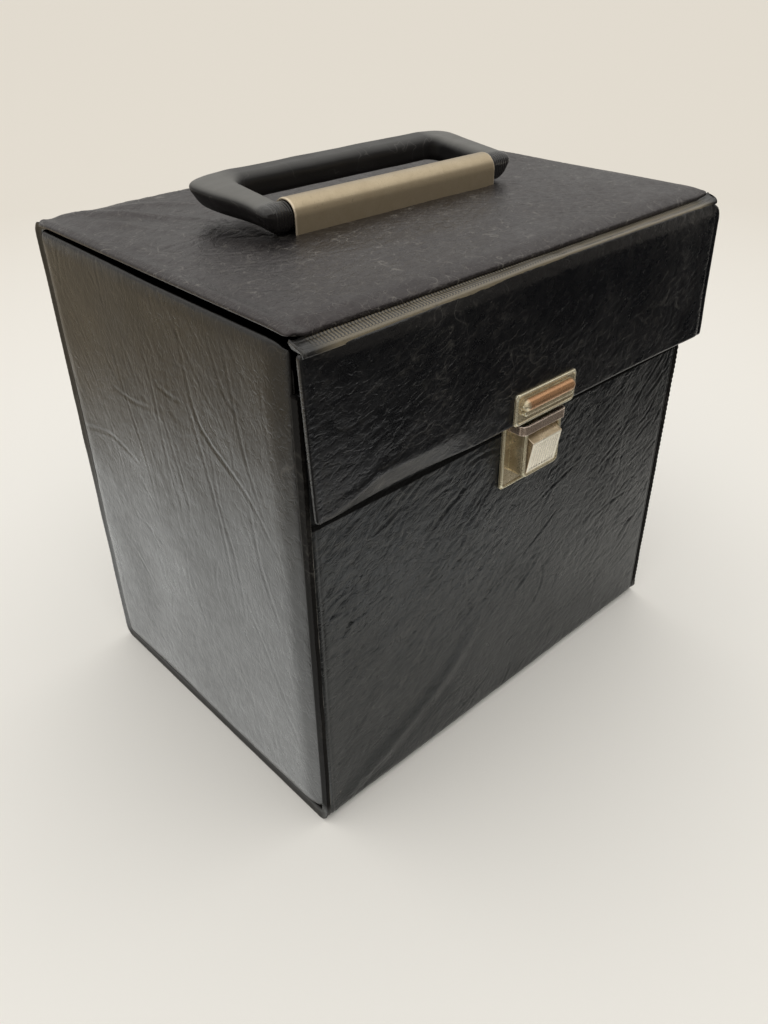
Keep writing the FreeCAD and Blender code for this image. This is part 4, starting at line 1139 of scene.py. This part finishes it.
def tube(line, radius, sides=12, closed=False, ends=5):
    """A round bar along a line that lies in a plane of constant y. Open bars have rounded ends."""
    line = np.array(line, float)
    if not closed:
        start = (line[1] - line[0]) / np.linalg.norm(line[1] - line[0])
        finish = (line[-1] - line[-2]) / np.linalg.norm(line[-1] - line[-2])
        turn = np.linspace(0, math.pi / 2, ends)[:-1]
        first = [line[0] + start * radius * (1 - math.cos(t)) for t in turn]
        last = [line[-1] - finish * radius * (1 - math.cos(t)) for t in turn[::-1]]
        sizes = [max(0.05, math.sin(t)) for t in turn]
        middle = [line[0] + start * radius, *line[1:-1], line[-1] - finish * radius]
        line = np.array(first + middle + last)
        sizes = np.array(sizes + [1.0] * len(middle) + sizes[::-1])
    else:
        sizes = np.ones(len(line))
    ahead, behind = np.roll(line, -1, axis=0), np.roll(line, 1, axis=0)
    if not closed:
        ahead[-1], behind[0] = line[-1], line[0]
    way = ahead - behind
    way /= np.linalg.norm(way, axis=1)[:, None]
    side = np.stack([-way[:, 2], np.zeros(len(way)), way[:, 0]], axis=1)
    angle = np.linspace(0, 2 * math.pi, sides, endpoint=False)
    ring = radius * sizes[:, None, None] * (np.cos(angle)[None, :, None] * side[:, None, :]
                                            + np.sin(angle)[None, :, None] * np.array([0, 1, 0]))
    points = (line[:, None, :] + ring).reshape(-1, 3)
    faces = grid_faces(len(line), sides, close_rows=closed, close_columns=True)
    if not closed:
        faces += [tuple(range(sides)), tuple((len(line) - 1) * sides + k for k in range(sides))[::-1]]
    return points, faces


def softened(name, node, body, voxel, rounds, material, shape=None, bars=()):
    """A piece with worn, rounded edges: a node's shape and its bars, remeshed finely and smoothed.

    shape(points, normals) gives the points of the finished piece, in millimetres.
    """
    bm = bmesh.new()
    bm.from_mesh(frame["nodes"][node].data)
    for points, faces in bars:
        made = [bm.verts.new(tuple(p * MM)) for p in points]
        for face in faces:
            bm.faces.new([made[k] for k in face])
    bmesh.ops.recalc_face_normals(bm, faces=bm.faces)
    raw = bpy.data.meshes.new(name + "_raw")
    bm.to_mesh(raw)
    bm.free()
    source = bpy.data.objects.new(name + "_source", raw)
    bpy.context.scene.collection.objects.link(source)
    remesh = source.modifiers.new("remesh", "REMESH")
    remesh.mode = "VOXEL"
    remesh.voxel_size = voxel * MM
    smooth = source.modifiers.new("smooth", "SMOOTH")
    smooth.factor, smooth.iterations = 0.5, rounds
    graph = bpy.context.evaluated_depsgraph_get()
    mesh = bpy.data.meshes.new_from_object(source.evaluated_get(graph))
    bpy.data.objects.remove(source)
    mesh.name = name
    if shape is not None:
        points = np.zeros(len(mesh.vertices) * 3)
        mesh.vertices.foreach_get("co", points)
        normals = np.zeros(len(mesh.vertices) * 3)
        mesh.vertices.foreach_get("normal", normals)
        points = shape(points.reshape(-1, 3) / MM, normals.reshape(-1, 3))
        mesh.vertices.foreach_set("co", (points * MM).ravel())
        mesh.update()
    mesh.materials.clear()
    mesh.materials.append(material)
    mesh.shade_smooth()
    piece = bpy.data.objects.new(name, mesh)
    bpy.context.scene.collection.objects.link(piece)
    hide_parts(node)
    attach(piece, body)
    return piece


HANDLE_TILT, HANDLE_THICK = math.radians(7), 10.0
HANDLE_AT = next(np.array(j["pos_m"]) / MM for j in frame["joints"] if j["name"] == "handle_hinge")


def handle_shape(p, normals):
    """Arms rolled outwards and undercut, a rear bar undercut behind, and slow hand-worn waves."""
    away = p[:, 1] - HANDLE_AT[1]
    up = p[:, 2] - HANDLE_AT[2]
    reach = away * math.cos(HANDLE_TILT) + up * math.sin(HANDLE_TILT)
    thick = (up * math.cos(HANDLE_TILT) - away * math.sin(HANDLE_TILT)) / (HANDLE_THICK / 2)
    side, x = np.sign(p[:, 0]), np.abs(p[:, 0])
    outer = soft_step(x, 53, 60)
    under, over = soft_step(-thick, -0.6, 1.0), soft_step(thick, 0.0, 0.9)
    behind = soft_step(reach, 4, 34)
    waves = 0.14 * fractal(p[:, 0] / 16 + p[:, 2] / 9, p[:, 1] / 16, 201, 2)
    out = p + normals * waves[:, None]
    out[:, 0] += side * outer * (1.0 * over - 3.4 * under + 3.6 * behind)
    out[:, 1] += 1.5 * soft_step(x, 50, 62) * soft_step(reach, 28, 39)
    out[:, 2] -= 1.2 * soft_step(x, 47, 63) * behind
    out[:, 1] -= 2.4 * under * soft_step(reach, 32, 39)
    return out


def button_ribs(p, normals):
    """Upright ribs across the wedge's face, inside a plain border."""
    face = (p[:, 1] < -84.0) & (np.abs(p[:, 0]) < 6.6) & (p[:, 2] > 122.6) & (p[:, 2] < 133.2)
    ribs = np.where(face, 0.12 * np.cos(2 * math.pi * p[:, 0] / 1.5) - 0.14, 0.0)
    return p + normals * ribs[:, None]


def plate_rim(node, y, radius, inset, corner=1.4):
    """A raised bead round a plate's outline."""
    low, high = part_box(node)
    return tube(rounded_loop(high.x / MM - inset, low.z / MM + inset, high.z / MM - inset, y, corner),
                radius, closed=True)


def lock_rim(node, y, radius, inset):
    """A bead down the sides and along the foot of the housing, which the wedge sits inside."""
    low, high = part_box(node)
    half, foot, head = high.x / MM - inset, low.z / MM + inset, high.z / MM
    corner = 1.6
    line = [(-half, y, head)]
    for x, start in ((-half + corner, 180), (half - corner, 270)):
        line += quarter_turn(x, y, foot + corner, corner, start)
    line.append((half, y, head))
    return tube(line, radius)


def level_bar(left, right, y, z, radius, **how):
    """A straight bar along x with rounded ends."""
    return tube([(left, y, z), (0, y, z), (right, y, z)], radius, **how)


GRIP = level_bar(-14.0, 14.6, -84.9, 150.7, 2.5, sides=24, ends=9)
GRIP_LIP = level_bar(-12.9, 14.2, -85.3, 147.3, 0.85)
softened("handle_loop", "handle", "handle", 0.55, 4, PLASTIC, handle_shape)
softened("handle_sleeve", "handle_bracket", "lid", 0.36, 3, SLEEVE)
softened("strike_face", "strike_plate", "flap", 0.15, 2, STRIKE,
         bars=[plate_rim("strike_plate", -84.35, 0.55, 0.6), GRIP, GRIP_LIP])
softened("lock_back_plate", "lock_base_plate", "case", 0.15, 2, LOCK,
         bars=[plate_rim("lock_base_plate", -77.95, 0.6, 0.65)])
softened("lock_case", "lock_housing", "case", 0.15, 2, LOCK,
         bars=[lock_rim("lock_housing", -84.3, 0.8, 0.8)])
softened("lock_mouth_band", "lock_collar", "case", 0.16, 3, COLLAR)
softened("lock_wedge", "lock_button", "lock_button", 0.15, 2, NICKEL, button_ribs)

KEPT = {
    GREYBOARD: ["front_board", "back_board", "bottom_board"],
    LINING: ["front_lining", "back_lining", "bottom_lining"],
    STEEL: ["lock_backing_plate", "lock_spring", "button_pin", "handle_backing_plate",
            "strike_backing_plate"],
    LOCK: ["lock_rivets"],
    STRIKE: ["strike_rivets"],
}
for material, names in KEPT.items():
    for node in names:
        data = frame["nodes"][node]
        for material_slot in data.material_slots:
            material_slot.material = material


# ------------------------------------------------------------------ floor, camera and light

def floor():
    """A wide pale floor of faintly uneven paper."""
    mesh = bpy.data.meshes.new("floor")
    bm = bmesh.new()
    bmesh.ops.create_grid(bm, x_segments=40, y_segments=40, size=12.0)
    bm.to_mesh(mesh)
    bm.free()
    piece = bpy.data.objects.new("floor", mesh)
    piece.location.z = -0.0002
    bpy.context.scene.collection.objects.link(piece)
    f = Finish("floor_paper")
    patch = f.noise(f.even(400), 1.0, 3.0, 0.5)
    tooth = f.noise(f.even(1.6), 1.0, 3.0, 0.6)
    # Painted light and shade: the floor's colour is lighter near the case, against the case's shadows, and
    # darker and warmer farther off, for the light's falloff.
    away = f.add("ShaderNodeVectorMath", {0: f.place}, operation="LENGTH").outputs["Value"]
    near = f.mix(patch, (0.865, 0.85, 0.815), (0.885, 0.87, 0.835))
    base = f.mix(f.span(away, 0.25, 0.9), near, (0.75, 0.715, 0.655))
    f.shader.inputs["Specular IOR Level"].default_value = 0
    mesh.materials.append(f.set(Base_Color=base, Roughness=f.span(patch, 0.3, 0.7, 0.9, 1.0),
                                Normal=f.bump(tooth, 0.05, 0.4)))


LIGHTS_AIM = (0, 0, 0.1)


def soft_light(name, at, size, watts, colour):
    """A rectangular light that looks at the case."""
    data = bpy.data.lights.new(name, "AREA")
    data.shape, data.size, data.size_y = "RECTANGLE", size[0], size[1]
    data.energy, data.color = watts, colour
    light = bpy.data.objects.new(name, data)
    light.location = at
    light.rotation_euler = (Vector(LIGHTS_AIM) - Vector(at)).to_track_quat("-Z", "Y").to_euler()
    bpy.context.scene.collection.objects.link(light)


floor()
SKY_LOW, SKY_HIGH = (0.37, 0.36, 0.345, 1), (1.25, 1.225, 1.175, 1)
SKY_STRENGTH = 0.95
world = bpy.data.worlds.new("room")
bpy.context.scene.world = world
world.use_nodes = True
sky = world.node_tree
direction = sky.nodes.new("ShaderNodeTexCoord")
parts = sky.nodes.new("ShaderNodeSeparateXYZ")
sky.links.new(direction.outputs["Generated"], parts.inputs[0])
climb = sky.nodes.new("ShaderNodeMapRange")
climb.inputs["From Min"].default_value, climb.inputs["From Max"].default_value = 0.0, 0.8
sky.links.new(parts.outputs["Z"], climb.inputs["Value"])
blend = sky.nodes.new("ShaderNodeMix")
blend.data_type = "RGBA"
blend.inputs[6].default_value = SKY_LOW
blend.inputs[7].default_value = SKY_HIGH
sky.links.new(climb.outputs["Result"], blend.inputs[0])
sky.links.new(blend.outputs[2], sky.nodes["Background"].inputs["Color"])
sky.nodes["Background"].inputs["Strength"].default_value = SKY_STRENGTH
bpy.context.scene.view_settings.view_transform = "Standard"

soft_light("ceiling", (-0.7, 0.6, 1.9), (1.2, 0.9), 1.0, (1.0, 0.975, 0.94))
soft_light("window", (-1.7, 0.2, 1.1), (0.9, 0.9), 0.6, (0.96, 0.98, 1.0))


def table_card(name, corners, near, far, start, end, way):
    """A card that only reflections see, just over the floor unless its corners have heights.

    It shades from near to far along a direction.
    """
    mesh = bpy.data.meshes.new(name)
    corners = [(*corner, 0.0015) if len(corner) == 2 else corner for corner in corners]
    mesh.from_pydata(corners, [], [tuple(range(len(corners)))])
    card = bpy.data.objects.new(name, mesh)
    bpy.context.scene.collection.objects.link(card)
    f = Finish(name)
    place = f.add("ShaderNodeVectorMath", {0: f.place, 1: way}, operation="DOT_PRODUCT").outputs["Value"]
    wander = f.noise(f.even(90), 1.0, 2.0)
    share = f.span(f.calc("ADD", place, f.span(wander, 0.3, 0.7, -0.02, 0.02)), start, end)
    f.set(Base_Color=(0, 0, 0), Roughness=1.0, Emission_Color=f.mix(share, near, far), Emission_Strength=1.0)
    f.shader.inputs["Specular IOR Level"].default_value = 0
    mesh.materials.append(f.material)
    card.visible_camera = card.visible_diffuse = card.visible_shadow = card.visible_transmission = False


table_card("table_left", [(-0.106, -0.09), (-0.106, 1.2), (-1.6, 1.2), (-1.6, -0.09)],
           (1.52, 1.53, 1.48), (0.52, 0.43, 0.30), 0.285, 0.37, (-1, 0.5, 0))
table_card("table_right", [(0.02, -0.17), (0.45, -0.13), (1.6, -0.13), (1.6, -1.8), (-0.10, -1.8),
                           (-0.10, -0.30)],
           (1.40, 1.41, 1.42), (0.010, 0.011, 0.015), 0.20, 0.285, (0.6, -1, 0))
table_card("table_front", [(-0.13, -0.10), (-0.6, -0.10), (-0.6, -0.7), (-0.10, -0.7), (-0.10, -0.15)],
           (0.10, 0.095, 0.09), (0.04, 0.04, 0.04), 0.10, 0.4, (0, -1, 0))

table_card("front_dark", [(-0.6, -1.1, 0.05), (2.0, -0.9, 0.05), (2.0, -0.9, 1.1), (-0.6, -1.1, 1.1)],
           (0.16, 0.145, 0.13), (0.16, 0.145, 0.13), 0.0, 1.0, (0, 0, 1))

CAMERA_AT = Vector((-0.23060, -0.25016, 0.28685))
CAMERA_RIGHT = Vector((0.73186, -0.68135, -0.01199)).normalized()
CAMERA_UP = Vector((0.38528, 0.39920, 0.83198))
CAMERA_BACK = CAMERA_RIGHT.cross(CAMERA_UP).normalized()
CAMERA_UP = CAMERA_BACK.cross(CAMERA_RIGHT)
camera_data = bpy.data.cameras.new("camera")
camera_data.lens, camera_data.sensor_width = 30.49, 36.0
camera_data.clip_start, camera_data.clip_end = 0.01, 60
camera = bpy.data.objects.new("camera", camera_data)
bpy.context.scene.collection.objects.link(camera)
turn = Matrix((CAMERA_RIGHT, CAMERA_UP, CAMERA_BACK)).transposed()
camera.matrix_world = Matrix.Translation(CAMERA_AT) @ turn.to_4x4()
bpy.context.scene.camera = camera
